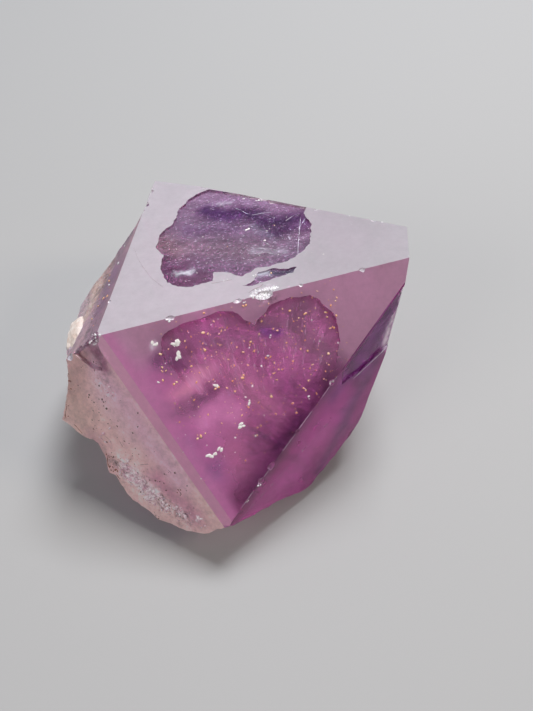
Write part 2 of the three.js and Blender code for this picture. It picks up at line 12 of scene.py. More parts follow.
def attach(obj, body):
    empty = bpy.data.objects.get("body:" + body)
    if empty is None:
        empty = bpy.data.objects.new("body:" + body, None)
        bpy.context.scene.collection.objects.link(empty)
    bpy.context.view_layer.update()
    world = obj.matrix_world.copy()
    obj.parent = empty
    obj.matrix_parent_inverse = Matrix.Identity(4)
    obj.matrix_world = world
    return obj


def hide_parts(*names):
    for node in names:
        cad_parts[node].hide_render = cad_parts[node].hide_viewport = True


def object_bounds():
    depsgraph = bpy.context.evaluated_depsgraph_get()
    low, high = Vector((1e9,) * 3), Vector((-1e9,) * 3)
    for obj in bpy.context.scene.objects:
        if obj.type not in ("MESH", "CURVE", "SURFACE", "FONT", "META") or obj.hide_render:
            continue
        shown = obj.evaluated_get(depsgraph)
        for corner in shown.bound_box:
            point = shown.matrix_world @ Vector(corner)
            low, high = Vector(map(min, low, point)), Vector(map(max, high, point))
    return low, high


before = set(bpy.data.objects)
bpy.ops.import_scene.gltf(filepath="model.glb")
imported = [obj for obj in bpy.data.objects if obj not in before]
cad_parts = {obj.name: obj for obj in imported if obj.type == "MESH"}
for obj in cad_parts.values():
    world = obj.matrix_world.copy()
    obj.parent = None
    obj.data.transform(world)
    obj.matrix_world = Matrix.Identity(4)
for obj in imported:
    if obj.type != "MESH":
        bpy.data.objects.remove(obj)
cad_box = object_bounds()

MM = 0.001
NOISE_SEED = 3
noise.seed_set(NOISE_SEED)  # unseeded, noise_vector starts from the clock
CRYSTAL = "amethyst_point"

# ---- the crystal's own directions, in the frame ----
TIP_FACE_TILT = 51.79  # degrees between a tip face's normal and the long axis
AXIS_LEAN = 45.3
AXIS_HEADING = -3.9
AXIS_ROLL = -2.4
FACES = {  # azimuth round the long axis, and whether it is a tip face
    "top": (180, True),
    "front": (240, True),
    "front_right": (300, True),
    "right": (0, True),
    "back_right": (60, True),
    "back": (116.2, True),
    "top_side": (180, False),
    "front_side": (240, False),
    "front_right_side": (300, False),
    "back_side": (120, False),
}
NAMES = list(FACES)
LAPPED = [NAMES.index(name) for name in ("top", "front", "front_right")]
SIDES = [NAMES.index(name) for name in ("top_side", "front_side")]
WORN_EDGE = [NAMES.index(name) for name in ("front", "front_side")]

# ---- zones of the surface ----
ZONES = range(9)
GROUND, WINDOW, SIDE, WORN, GROWTH, BREAK, CHIP, ROOT, RUBBED = ZONES
# Cosines to a flat face's normal: in it, still flat, a hollow's floor and, at most, a hollow's walls.
SAME_WAY, FLAT_WAY, HOLLOW_WAY, WALL_WAY = 0.9999, 0.999, 0.8, 0.5
FLAT_DEPTH = 0.02  # mm under a face's plane that still counts as the flat face
HOLLOW_DEPTH = 1.4  # mm: deepest hollow floor
WALL_DEPTH = 0.8  # mm: deepest middle of a window's low wall
RIDGE_WEAR = 0.3  # mm from two faces: the rubbed line along a ridge
EDGE_WEAR = 0.65  # mm from front and front side face: the worn edge between them
CHIP_AREA = 14  # mm2: a lone patch of damage smaller than this is a chip
FINENESS = (0.9, 0.48, 0.9, 0.6, 3, 1.1, 0.26, 0.6, 0.9)  # longest edge in mm in each zone
BORDER_FINENESS = 0.24  # the same, along the outline of a window
SHORTEST_EDGE = 0.03  # mm
NEARLY_FLAT = 0.06  # radians between two faces that are evened out together
SHARP_ANGLE = 38  # degrees
HALVINGS, COLLAPSES = 7, 8  # most rounds of each

# Centre line of the milky root on the broken end: x, y, z and reach, in mm.
ROOT_LINE = [
    (-27.9, -3.8, 21.2, 3.6), (-26.1, -8.8, 19.8, 4.2), (-25.2, -13, 17.4, 4), (-26.4, -5, 16.4, 4.4),
    (-26.7, 0.4, 17.4, 4.3), (-24.4, 4.2, 16.2, 4.7), (-21.2, 8, 15.6, 4.5), (-23.4, -10.2, 14.8, 4.2),
    (-18, 12, 15, 3.9), (-15.9, 17, 13.4, 3.8),
]
ROOT_DEPTHS = (-0.05, 1.2)  # mm: it lies above the first and below the second

# ---- relief, in mm ----
# Waves of smooth noise that shift a place: reach and size.
OUTLINE_WAVES = ((0.42, 2.3), (0.18, 0.8), (0.11, 0.4))
STROKE_WAVES = ((0.9, 3.5), (0.5, 1.2))
EDGE_CALM, DEEP_CALM = (0.4, 1.8), (1.5, 2.2)  # from a second face and in depth, where outlines don't wander
LEAST_AREA = 0.001  # mm2 of a face whose turning over counts as a fold
TRIES, HALF_TRIES = 12, 4  # rounds of undoing shifts that fold the mesh, and how many only halve them
ROUNDINGS = 4  # times that broken surfaces are smoothed
RELIEF = {ROOT: (0, -0.22, 0.9), CHIP: (0.05, 0.09, 0.5), WORN: (0, 0.12, 1.1)}  # sinking, swing and size
BREAK_FINE, BREAK_PITS = (0.16, 1.6), (0.35, 5)  # swing or depth, and size
FOOT_HEIGHT, FOOT_LIFT = 1, (0.45, 2.2)  # what is lower is lifted unevenly: by how much, and size
WINDOW_RIBS, RIB_WARP, WINDOW_SWELL = (0.02, 9, 0.8), (1.2, 5), (0.03, 4)  # height or shift, and sizes


def put(name, data):
    """A new object with this data in the scene."""
    made = bpy.data.objects.new(name, data)
    bpy.context.scene.collection.objects.link(made)
    return made


# ---- camera ----
CAMERA_PLACE = Vector((6.25, -82.3, 105.3)) * MM
CAMERA_PITCH = 50  # degrees it looks down
FOCAL_PIXELS = 635
FRAME_HEIGHT = 711  # pixels
SENSOR = 36  # mm along the frame's height


def add_camera():
    data = bpy.data.cameras.new("camera")
    data.sensor_width = SENSOR
    data.lens = FOCAL_PIXELS / FRAME_HEIGHT * SENSOR
    data.clip_start = 5 * MM
    camera = put("camera", data)
    camera.location = CAMERA_PLACE
    camera.rotation_euler = (math.radians(90 - CAMERA_PITCH), 0, 0)
    bpy.context.scene.camera = camera


# ---- the crystal's planes ----
def face_normal(azimuth, tip):
    turn = math.radians(azimuth)
    tilt = math.radians(TIP_FACE_TILT if tip else 90)
    along = Vector((math.sin(tilt) * math.cos(turn), math.sin(tilt) * math.sin(turn), math.cos(tilt)))
    resting = (
        Matrix.Rotation(math.radians(AXIS_HEADING), 3, "Z")
        @ Matrix.Rotation(math.radians(AXIS_LEAN), 3, "Y")
        @ Matrix.Rotation(math.radians(AXIS_ROLL), 3, "Z")
    )
    return np.array(resting @ along)


def measure(mesh):
    """Normals, middles and areas of a mesh's faces, in mm."""
    normals = np.array([f.normal for f in mesh.faces])
    middles = np.array([f.calc_center_median() for f in mesh.faces]) / MM
    areas = np.array([f.calc_area() for f in mesh.faces]) / MM**2
    return normals, middles, areas


def find_planes(mesh):
    """Each flat face's outward normal and how far out it lies in mm."""
    planes = {}
    normals, middles, areas = measure(mesh)
    for name, (azimuth, tip) in FACES.items():
        normal = face_normal(azimuth, tip)
        alike = normals @ normal > SAME_WAY
        heights = middles[alike] @ normal
        steps = np.round(heights / FLAT_DEPTH).astype(int)
        widest = max(sorted(set(steps)), key=lambda step: areas[alike][steps == step].sum())
        planes[name] = (normal, float(np.median(heights[steps == widest])))
    return planes


def corner(*names):
    """Where three flat faces meet, in mm."""
    normals = np.array([planes[name][0] for name in names])
    reaches = np.array([planes[name][1] for name in names])
    return np.linalg.solve(normals, reaches)


def face_axes(name, start, end):
    """A face's start, the direction to its end, and the direction square to that."""
    along = (end - start) / np.linalg.norm(end - start)
    return start, along, np.cross(planes[name][0], along)


def on_face(name, u, v):
    """The point in mm at u and v on a face."""
    start, along, across = axes[name]
    return start + along * u + across * v


def face_place(name, points):
    """u and v on a face of points in mm."""
    start, along, across = axes[name]
    return (points - start) @ along, (points - start) @ across


def lies_in(plane, name):
    """Which nearest planes are the named face's."""
    return plane == NAMES.index(name)


def on_part(name, chosen, plane, points):
    """The chosen points whose nearest plane is a face's, and their u and v on it."""
    here = lies_in(plane, name) & chosen
    return here, *face_place(name, points[here])


def step(low, high, value):
    """Rises smoothly from 0 to 1 between low and high."""
    t = np.clip((value - low) / (high - low), 0, 1)
    return t * t * (3 - 2 * t)


# ---- zones ----
def patches(mesh, solid):
    """The connected faces that aren't solid, as lists of their indices."""
    left = set(np.nonzero(~solid)[0].tolist())
    while left:
        patch, todo = [], [left.pop()]
        while todo:
            patch.append(todo.pop())
            beside = left & {f.index for e in mesh.faces[patch[-1]].edges for f in e.link_faces}
            left -= beside
            todo += beside
        yield patch


def sort_zones(mesh):
    """Writes each face's zone and nearest plane into layers of the mesh."""
    zone_layer = mesh.faces.layers.int.new("zone")
    plane_layer = mesh.faces.layers.int.new("plane")
    normals, middles, areas = measure(mesh)
    depths = plane_depths(middles)
    facing = np.array([normals @ normal for normal, _ in planes.values()]).T
    nearest, runner = np.argsort(depths, axis=1)[:, :2].T
    rows = np.arange(len(normals))
    depth, toward, second = depths[rows, nearest], facing[rows, nearest], depths[rows, runner]
    lapped, side = np.isin(nearest, LAPPED), np.isin(nearest, SIDES)
    edge = np.isin(nearest, WORN_EDGE) & np.isin(runner, WORN_EDGE)
    flat = (depth < FLAT_DEPTH) & (toward > FLAT_WAY)
    hollow = ~flat & (depth < HOLLOW_DEPTH) & (toward > HOLLOW_WAY)
    zones = np.full(len(normals), BREAK)
    zones[hollow] = GROWTH
    zones[hollow & lapped] = WINDOW
    zones[hollow & side] = WORN
    zones[hollow & lapped & (second < RIDGE_WEAR)] = CHIP
    zones[hollow & edge & (second < EDGE_WEAR)] = RUBBED
    zones[flat] = GROWTH
    zones[flat & lapped] = GROUND
    zones[flat & side] = SIDE
    along_ridge = normals @ right_ridge() > FLAT_WAY
    zones[hollow & along_ridge & (second < RIDGE_WEAR)] = GROUND
    mesh.faces.ensure_lookup_table()
    for _ in range(2):  # a window's low walls belong to it
        windows = [f for f, zone in zip(mesh.faces, zones) if zone == WINDOW]
        beside = {g.index for f in windows for e in f.edges for g in e.link_faces}
        for index in beside:
            if zones[index] == BREAK and depth[index] < WALL_DEPTH and abs(toward[index]) < WALL_WAY:
                zones[index] = WINDOW
    for patch in patches(mesh, np.isin(zones, (GROUND, SIDE, GROWTH, RUBBED))):
        if areas[patch].sum() < CHIP_AREA:
            zones[patch] = CHIP
    outside, inside = ROOT_DEPTHS
    for x, y, z, reach in ROOT_LINE:
        near = np.linalg.norm(middles - (x, y, z), axis=1) < reach
        zones[near & ((depth > inside) | (depth < outside)) & (zones == BREAK)] = ROOT
    for face, zone, plane in zip(mesh.faces, zones, nearest):
        face[zone_layer] = int(zone)
        face[plane_layer] = int(plane)
    return zone_layer, plane_layer


def even_out(mesh, zone_layer, plane_layer):
    """Turns edges in smooth areas for more even triangles."""
    inside = []
    for edge in mesh.edges:
        alike = len({(f[zone_layer], f[plane_layer]) for f in edge.link_faces}) == 1
        if alike and edge.calc_face_angle(math.pi) < NEARLY_FLAT:
            inside.append(edge)
    bmesh.ops.beautify_fill(mesh, faces=mesh.faces[:], edges=inside, method="ANGLE")


def drop_short_edges(mesh):
    """Closes up the shortest edges, where the surface stays closed."""
    for _ in range(COLLAPSES):
        chosen, taken = [], set()
        for edge in mesh.edges:
            if edge.calc_length() < SHORTEST_EDGE * MM:
                rings = [{e.other_vert(v) for e in v.link_edges} for v in edge.verts]
                if len(rings[0] & rings[1]) == 2 and taken.isdisjoint(rings[0] | rings[1]):
                    chosen.append(edge)
                    taken |= rings[0] | rings[1]
        if not chosen:
            break
        bmesh.ops.collapse(mesh, edges=chosen)


def cut_triangle(face, halves):
    """Divides a triangle whose edges were halved."""
    verts = list(face.verts)
    halved = [v in halves for v in verts]
    if len(verts) == 4:
        middle = halved.index(True)
        bmesh.utils.face_split(face, verts[middle], verts[middle - 2])
        return
    first = next(i for i in range(len(verts)) if halved[i] and halved[(i + 2) % len(verts)])
    verts = verts[first:] + verts[:first]
    for start, end in ((0, 2), (2, 4), (4, 0))[: 1 if len(verts) == 5 else 3]:
        other, _ = bmesh.utils.face_split(face, verts[start], verts[end])
        face = max(face, other, key=lambda f: len(f.verts))
    if len(verts) == 5:
        diagonals = ((verts[0], verts[3]), (verts[2], verts[4]))
        bmesh.utils.face_split(face, *min(diagonals, key=lambda ends: (ends[0].co - ends[1].co).length))


def refine(mesh, zone_layer, plane_layer):
    """Halves long edges until each zone is fine enough."""
    for _ in range(HALVINGS):
        even_out(mesh, zone_layer, plane_layer)
        longest = []
        for edge in mesh.edges:
            zones = {f[zone_layer] for f in edge.link_faces}
            limit = BORDER_FINENESS if zones == {WINDOW, GROUND} else min(FINENESS[zone] for zone in zones)
            if edge.calc_length() > limit * MM:
                longest.append(edge)
        if not longest:
            break
        halves = {bmesh.utils.edge_split(edge, edge.verts[0], 0.5)[1] for edge in longest}
        for face in [f for f in mesh.faces if len(f.verts) > 3]:
            cut_triangle(face, halves)
    drop_short_edges(mesh)


def fractal(point, size, octaves=3):
    """Smooth noise from about -1 to 1 that changes over size mm."""
    return noise.fractal(Vector(point) / size, 1, 2, octaves, noise_basis="PERLIN_ORIGINAL")


def wander(place, waves):
    """A smooth random shift in mm of a place in mm."""
    return sum((reach * noise.noise_vector(place / size) for reach, size in waves), Vector())


def plane_depths(points):
    """How deep points in mm lie under each plane, a column for each."""
    return np.array([reach - points @ normal for normal, reach in planes.values()]).T


def right_ridge():
    """The direction between those of the front and front right faces."""
    between = planes["front"][0] + planes["front_right"][0]
    return between / np.linalg.norm(between)


def warp_outlines(mesh):
    """Shifts points within their face, so that the outlines of hollows run unevenly."""
    normals = [Vector(normal) for normal, _ in planes.values()]
    verts = list(mesh.verts)
    places = np.array([v.co for v in verts]) / MM
    depths = plane_depths(places)
    nearest = depths.argmin(1)
    depth, second = np.sort(depths, axis=1)[:, :2].T
    free = step(*EDGE_CALM, second) * (1 - step(*DEEP_CALM, depth))
    shifts = np.zeros_like(places)
    for i in np.nonzero(free)[0]:
        shift, normal = wander(Vector(places[i]), OUTLINE_WAVES), normals[nearest[i]]
        shifts[i] = (shift - normal * shift.dot(normal)) * free[i]
    before = [f.normal.copy() for f in mesh.faces]
    real = [f.calc_area() > LEAST_AREA * MM**2 for f in mesh.faces]
    for attempt in range(TRIES):
        for vert, place, shift in zip(verts, places, shifts):
            vert.co = (place + shift) * MM
        mesh.normal_update()
        turned = [f for f, normal, big in zip(mesh.faces, before, real) if big and f.normal.dot(normal) < 0.5]
        if not turned:
            break
        for index in {v.index for f in turned for v in f.verts}:
            shifts[index] *= 0.5 if attempt < HALF_TRIES else 0


def round_off(mesh, verts):
    """Smooths the surface at some of the mesh's points."""
    for _ in range(ROUNDINGS):
        moved = {}
        for vert in verts:
            ring = [e.other_vert(vert).co for e in vert.link_edges]
            moved[vert] = vert.co.lerp(sum(ring, Vector()) / len(ring), 0.5)
        for vert, place in moved.items():
            vert.co = place
    mesh.normal_update()


def window_relief(u, v):
    """Growth ripples and swellings of a window, in mm."""
    shift, warp_size = RIB_WARP
    height, length, width = WINDOW_RIBS
    warp = shift * fractal((u, v, 3), warp_size, 2)
    ribs = noise.noise((u / length, (v + warp) / width, 2))
    swell_height, swell_size = WINDOW_SWELL
    return height * ribs + swell_height * fractal((u, v, 11), swell_size, 3)


def shape_details(mesh, zone_layer, plane_layer):
    """Rounds and roughens broken surfaces, and ripples the windows."""
    inner = {}  # the points inside a single zone, with that zone
    for vert in mesh.verts:
        zones = {f[zone_layer] for f in vert.link_faces}
        if len(zones) == 1:
            inner[vert] = zones.pop()
    round_off(mesh, [v for v, zone in inner.items() if zone in (BREAK, ROOT)])
    for vert, zone in inner.items():
        p = vert.co / MM
        if zone == BREAK:
            (swing, size), (pit, pit_size) = BREAK_FINE, BREAK_PITS
            rough = swing * fractal(p, size) + pit * max(0, fractal(p + Vector((7, 3, 1)), pit_size, 2)) ** 2
            vert.co -= vert.normal * rough * MM
            if p.z < FOOT_HEIGHT:
                lift, size = FOOT_LIFT
                vert.co.z += lift * (0.5 + 0.5 * fractal(p, size)) * MM
        elif zone in RELIEF:
            sinking, swing, size = RELIEF[zone]
            vert.co -= vert.normal * (sinking + swing * fractal(p, size)) * MM
        elif zone == WINDOW:
            name = NAMES[vert.link_faces[0][plane_layer]]
            if name in axes and abs(vert.normal.dot(Vector(planes[name][0]))) >= HOLLOW_WAY:
                u, v = (float(c[0]) for c in face_place(name, np.array([p])))
                vert.co -= Vector(planes[name][0]) * window_relief(u, v) * MM
    low, high = cad_box
    for vert in mesh.verts:
        vert.co = [min(max(c, a), b) for c, a, b in zip(vert.co, low, high)]


# ---- looks of each zone: tint, roughness, haze and ripple ----
LOOKS = {
    GROUND: ((0.8, 0.78, 0.82), 0.42, 0.55, 0.04),
    WINDOW: ((0.58, 0.46, 0.68), 0.12, 0.2, 1.25),
    SIDE: ((1, 0.68, 0.64), 0.38, 0.7, 0.6),
    WORN: ((0.8, 0.66, 0.74), 0.28, 0.45, 0.8),
    GROWTH: ((0.78, 0.68, 0.84), 0.28, 0.15, 0.4),
    BREAK: ((0.92, 0.8, 0.88), 0.4, 0.45, 1),
    CHIP: ((0.88, 0.85, 0.9), 0.3, 0.66, 1),
    ROOT: ((0.78, 0.7, 0.56), 0.45, 1, 0.6),
    RUBBED: ((0.82, 0.42, 0.6), 0.4, 0.58, 0.1),
}

# Soft strokes of colour: from u, v to u, v on a face and half width in mm; red, green, blue, roughness,
# haze and strength in hundredths. Marked ones are painted light; the rest are the crystal's own colour.
STROKES = {
    "top": [
        (15, 20, 32, 13, 7, 50, 36, 52, 16, 26, 50), (24, 29, 36, 24.5, 1.3, 58, 42, 68, 16, 30, 80),
        (18, 22.5, 27, 19.5, 1.8, 54, 34, 68, 14, 22, 70), (13, 20.5, 15.5, 17, 2.6, 60, 42, 46, 18, 30, 80),
        (19, 16.5, 29, 11, 2.8, 54, 40, 50, 18, 28, 70), (22.5, 27, 31, 22.3, 1.8, 9, 5, 32, 10, 4, 95),
        (24, 24.5, 27.5, 22.8, 1.2, 22, 14, 55, 10, 6, 80),
        (32.5, 19.5, 38.6, 17.6, 2.3, 10, 6, 32, 10, 4, 92), (32.8, 15.8, 36, 16, 1.4, 20, 13, 42, 10, 6, 80),
        (38.5, 14.5, 39.5, 18, 1, 28, 18, 44, 12, 10, 70),
        (12.6, 14.6, 13.4, 9.5, 2.2, 24, 18, 28, 14, 16, 85), (14.5, 8.2, 19, 8, 1.6, 30, 20, 30, 14, 16, 80),
        (13.8, 12.6, 16.4, 12.2, 1, 26, 17, 28, 14, 12, 75),
        # painted highlight: the pale stroke from 14.4, 11.2 to 16.9, 10.4 is a bright blotch in the window
        (14.4, 11.2, 16.9, 10.4, 0.55, 84, 88, 94, 20, 75, 90), (28.5, 12, 33, 10, 1, 72, 68, 82, 20, 45, 70),
        (30, 19.3, 33, 14.5, 0.9, 56, 52, 70, 18, 35, 60),
        (24.5, 28.5, 27.8, 27.8, 0.5, 76, 72, 86, 20, 50, 70),
        # painted reflection: the near-black stroke from 30.5, 4.9 to 34, 4.2 is dark surroundings mirrored in
        # the glossy sliver chip
        (26.8, 5.2, 29.5, 5.3, 1, 52, 55, 62, 24, 70, 95), (30.5, 4.9, 34, 4.2, 0.9, 9, 10, 17, 12, 40, 98),
    ],
    "front": [
        (12, -4.5, 20, -5.5, 3, 62, 40, 58, 14, 14, 70), (25, -5.5, 33, -4.5, 2.6, 64, 40, 58, 14, 18, 60),
        (31, -7.5, 35.5, -13, 3.2, 66, 40, 56, 16, 22, 70),
        # painted light: these two bright pink strokes are the glow of light passing through the crystal from
        # behind
        (10.6, -12.2, 14.8, -9.8, 2, 100, 40, 64, 16, 58, 95),
        (13.2, -17.4, 17.4, -17, 2.5, 100, 36, 72, 16, 58, 95),
        (6.5, -15, 12, -14.6, 1.3, 58, 30, 52, 16, 20, 60), (12, -14.4, 17, -12.8, 1, 54, 28, 50, 14, 14, 60),
        (8.5, -6.2, 11.5, -7.5, 1.4, 46, 27, 50, 14, 6, 70), (26, -6.3, 28, -6.5, 0.8, 34, 20, 70, 14, 8, 80),
        (19, -9.5, 24, -17.5, 2.2, 96, 40, 64, 14, 30, 80), (27, -16, 33, -17, 2, 55, 30, 50, 14, 8, 70),
        (23.8, -24, 28.2, -21.2, 1.3, 16, 5, 18, 14, 3, 95),
        (17, -26.5, 23, -20.5, 1.1, 66, 34, 58, 14, 8, 60), (2.5, -3, 5, -14, 2.6, 80, 45, 67, 34, 54, 60),
        (8.3, -3.7, 9, -3.4, 0.55, 96, 88, 100, 30, 80, 75),
        (4.6, -13, 4.8, -21, 1.5, 50, 26, 54, 30, 28, 70),
        (8.5, -19.5, 9.5, -23, 1.5, 62, 34, 66, 26, 32, 60),
        (10.5, -26.5, 13.5, -25, 1.7, 52, 28, 62, 22, 26, 70),
        (16, -23.5, 18, -28.5, 2.4, 100, 36, 66, 18, 32, 70),
        (15.5, -30.5, 17.5, -34, 2, 80, 28, 56, 18, 16, 70),
    ],
    "front_right": [
        (6, 2.5, 15, 4.5, 3.4, 18, 2, 40, 12, 6, 93), (10, 2.5, 16, 4, 1.6, 18, 2, 36, 12, 3, 80),
        # painted highlight: the pale lavender stroke from 5.6, 4.5 to 9.2, 6.4 is the sheen near the window's
        # right edge
        (5.6, 4.5, 9.2, 6.4, 1.3, 100, 84, 100, 22, 94, 95), (12, 2, 22, 2.5, 2.4, 26, 7, 44, 18, 6, 85),
        (12, 6.5, 24, 11, 2.2, 30, 11, 42, 20, 8, 85), (25, 11.5, 34, 14, 2.2, 28, 11, 38, 20, 8, 85),
        (28, 7.5, 44, 5, 2.8, 100, 22, 74, 24, 26, 80),
    ],
    "front_side": [
        (4, -3.5, 26, -3, 3.2, 92, 62, 74, 34, 62, 80), (4, -12, 12, -15, 3.6, 76, 54, 46, 38, 72, 85),
        (0.8, -3.4, 4.6, -2.2, 1.3, 40, 17, 28, 30, 30, 90), (0.6, -6.5, 5, -12, 2.4, 74, 50, 44, 36, 60, 80),
        (8, -7, 17, -7, 2, 98, 70, 76, 34, 66, 50), (25, -7.5, 33, -5, 2.2, 74, 38, 48, 32, 50, 85),
        (22, -12, 27, -10.6, 1.6, 100, 84, 88, 30, 80, 70), (13, -14.5, 20, -15, 1.8, 66, 42, 42, 34, 60, 70),
    ],
    "top_side": [
        (-2, 1, 16, 3, 5, 38, 24, 35, 34, 34, 90), (16, 3, 34, 3, 5, 38, 25, 35, 34, 34, 90),
        (8, 2.5, 18, 2.5, 1.6, 36, 22, 42, 30, 20, 70), (12, 9, 26, 10.5, 2.6, 86, 62, 50, 30, 55, 90),
        (14, 7.5, 26, 8, 1, 52, 30, 26, 26, 30, 70), (1, 7.5, 7, 7.5, 1.6, 56, 40, 48, 40, 50, 80),
    ],
}
ROUGH_PATCHES = [  # from u, v to u, v on a face, half width and ripple
    ("front_side", 20, -13, 26, -11.5, 1.9, 3.2),
    ("front_side", 26, -11.5, 33, -7, 1.6, 2.6),
    ("front_side", 3, -3, 8, -5, 1.6, 1.6),
    ("top_side", 1, 3, 12, 5, 2.6, 2),
    ("top_side", 12, 9, 30, 8, 2.4, 2.4),
    ("top", 26.2, 0.9, 28.6, 0.9, 0.7, 3),
    ("front", 26.2, -0.5, 28.6, -0.5, 0.6, 3),
]
# Tints of the front face: clear, hazy, and hazy beside the front side face.
FRONT_CLEAR, FRONT_HAZED, FRONT_LEFT = (0.9, 0.34, 0.66), (0.68, 0.38, 0.54), (0.76, 0.23, 0.56)
# Where its haze fades, in mm: down from the ridge, along it, and away from the front side face.
TOP_BAND, RIGHT_BAND, LEFT_BAND = (7, 13), (35, 37.5), (2.5, 8.5)
RIGHT_BAND_LEAN = (0.35, 8)  # mm that it moves for each mm down, and from where
RIGHT_BAND_END, LEFT_BAND_START = (17, 20), (3, 9)  # mm down
FRONT_FINISH = ((0.14, 0.26), (0.2, 0.28))  # roughness and haze: clear, and what full haze adds
FRONT_RIPPLES = (0.15, 0.5)  # of the ground part and the window
RIGHT_TINT, RIGHT_FINISH = (0.84, 0.11, 0.62), (0.26, 0.14, 0.02)  # of the front right face's ground part
RIGHT_RIPPLE = 0.25  # of its window
FOOT_BREAK = (20, 8)  # mm: the right face's foot broke away beyond this x and z
# painted highlight: lavender on the broken edge above the front right face, where it catches the light
FOOT_HIGHLIGHT_TINT = (0.86, 0.7, 0.96)
RIDGE_CHIP, CHIP_HAZE = (0.6, 0.26, 0.52), 0.22  # tint and haze of the chips along the front right face
TOP_SHADE_FALL, TOP_SHADE_BAND = 0.74, (18, 46)  # painted shade: the top face darkens to this, over these mm to the tip, against the window light's sheen there
RIDGE_SHADE = (0.2, 0.08, 0.22)  # tint of the dark bands along the ridge between front and front right
RIDGE_BANDS = (("front", "front_right", 2), ("front_right", "front", 1.1))  # face, neighbour, reach in mm
RIDGE_BAND_START, RIDGE_BAND_FADE = (14, 20), (40, 48)  # mm along the front right face
EDGE_VEIL = (0.78, 0.28, 0.57)  # tint of the pale band along the ridge between front and front side
VEIL_PLACE, VEIL_REACH, VEIL_FINISH = 0.9, 0.8, (0.4, 0.55)  # mm, mm, and roughness and haze
TOP_GRAIN = (0.12, 0.42)  # slant of the top window's streaks, and their change along themselves
FAN_MIDDLE = (21, -32)  # u, v that the front window's streaks fan out from
FAN_GRAIN = (26, 0.14, 9)  # their change across and along themselves, and their layer of the noise


def blend_to(values, goal, weight):
    """Moves rows of values towards a goal by their weights."""
    return values + (np.array(goal) - values) * np.asarray(weight)[:, None]


def stroke_weight(along, across, u, v, to_u, to_v, width):
    """1 on a line between two places on a face, and fading off it."""
    run = np.array([to_u - u, to_v - v])
    part = np.clip(((along - u) * run[0] + (across - v) * run[1]) / (run @ run), 0, 1)
    off = (along - u - part * run[0]) ** 2 + (across - v - part * run[1]) ** 2
    return np.exp(-off / width**2)


def paint_strokes(zone, plane, places, tint, finish):
    """Lays each face's soft strokes of colour over what is there."""
    kept = {"top": (WINDOW,), "front": (WINDOW, GROUND)}
    for face, strokes in STROKES.items():
        zones = kept.get(face, (GROUND, WINDOW, SIDE, WORN, BREAK))
        here, *spots = on_part(face, np.isin(zone, zones), plane, places)
        for *line, red, green, blue, rough, haze, strength in strokes:
            weight = strength / 100 * stroke_weight(*spots, *line)
            tint[here] = blend_to(tint[here], (red / 100, green / 100, blue / 100), weight)
            finish[here, :2] = blend_to(finish[here, :2], (rough / 100, haze / 100), weight)


def paint_front(zone, plane, places, tint, finish):
    """The front face is hazy along its edges and clears downwards."""
    here, along, across = on_part("front", np.isin(zone, (GROUND, WINDOW)), plane, places)
    down = -across
    to_left = plane_depths(places[here])[:, NAMES.index("front_side")]
    ground = zone[here] == GROUND
    lean, lean_start = RIGHT_BAND_LEAN
    leaning = along + lean * np.maximum(down - lean_start, 0)
    right_band = step(*RIGHT_BAND, leaning) * (1 - step(*RIGHT_BAND_END, down))
    left_band = 1 - step(*LEFT_BAND, to_left)
    haze = np.clip(np.maximum(1 - step(*TOP_BAND, down), right_band), 0, 1) * ground
    tint[here] = blend_to(np.full((here.sum(), 3), FRONT_CLEAR), FRONT_HAZED, haze)
    tint[here] = blend_to(tint[here], FRONT_LEFT, 0.9 * left_band * step(*LEFT_BAND_START, down) * ground)
    haze = np.maximum(haze, 0.95 * left_band * ground)
    for column, (clear, more) in enumerate(FRONT_FINISH):
        finish[here, column] = clear + more * haze
    finish[here, 2] = np.where(ground, *FRONT_RIPPLES)


def paint_ridges(zone, plane, places, tint, finish):
    """Dark bands beside the front right ridge, and a pale one beside the front side face."""
    depths = plane_depths(places)
    for face, beside, reach in RIDGE_BANDS:
        here = lies_in(plane, face) & np.isin(zone, (GROUND, WINDOW))
        along, _ = face_place("front_right", places[here])
        weight = np.exp(-((depths[here, NAMES.index(beside)] / reach) ** 2)) * step(*RIDGE_BAND_START, along)
        fade = 1 - 0.6 * step(*RIDGE_BAND_FADE, along)
        tint[here] = blend_to(tint[here], RIDGE_SHADE, 0.85 * weight * fade)
        finish[here, 1] *= 1 - 0.8 * weight
    here = lies_in(plane, "front") & (zone == GROUND)
    weight = np.exp(-(((depths[here, NAMES.index("front_side")] - VEIL_PLACE) / VEIL_REACH) ** 2))
    tint[here] = blend_to(tint[here], EDGE_VEIL, 0.8 * weight)
    finish[here, :2] = blend_to(finish[here, :2], VEIL_FINISH, 0.8 * weight)


def grain_places(zone, plane, places):
    """Coordinates in mm for the fine growth texture: x runs across its streaks."""
    grain = places.copy()
    here, along, across = on_part("top", zone == WINDOW, plane, places)
    slant, rate = TOP_GRAIN
    grain[here] = np.array([across + slant * along, rate * along, 0 * along]).T
    here, along, across = on_part("front", zone == WINDOW, plane, places)
    along, across = along - FAN_MIDDLE[0], across - FAN_MIDDLE[1]
    turning, rate, layer = FAN_GRAIN
    spread, reach = np.arctan2(along, across), np.hypot(along, across)
    grain[here] = np.array([turning * spread, rate * reach, 0 * along + layer]).T
    return grain


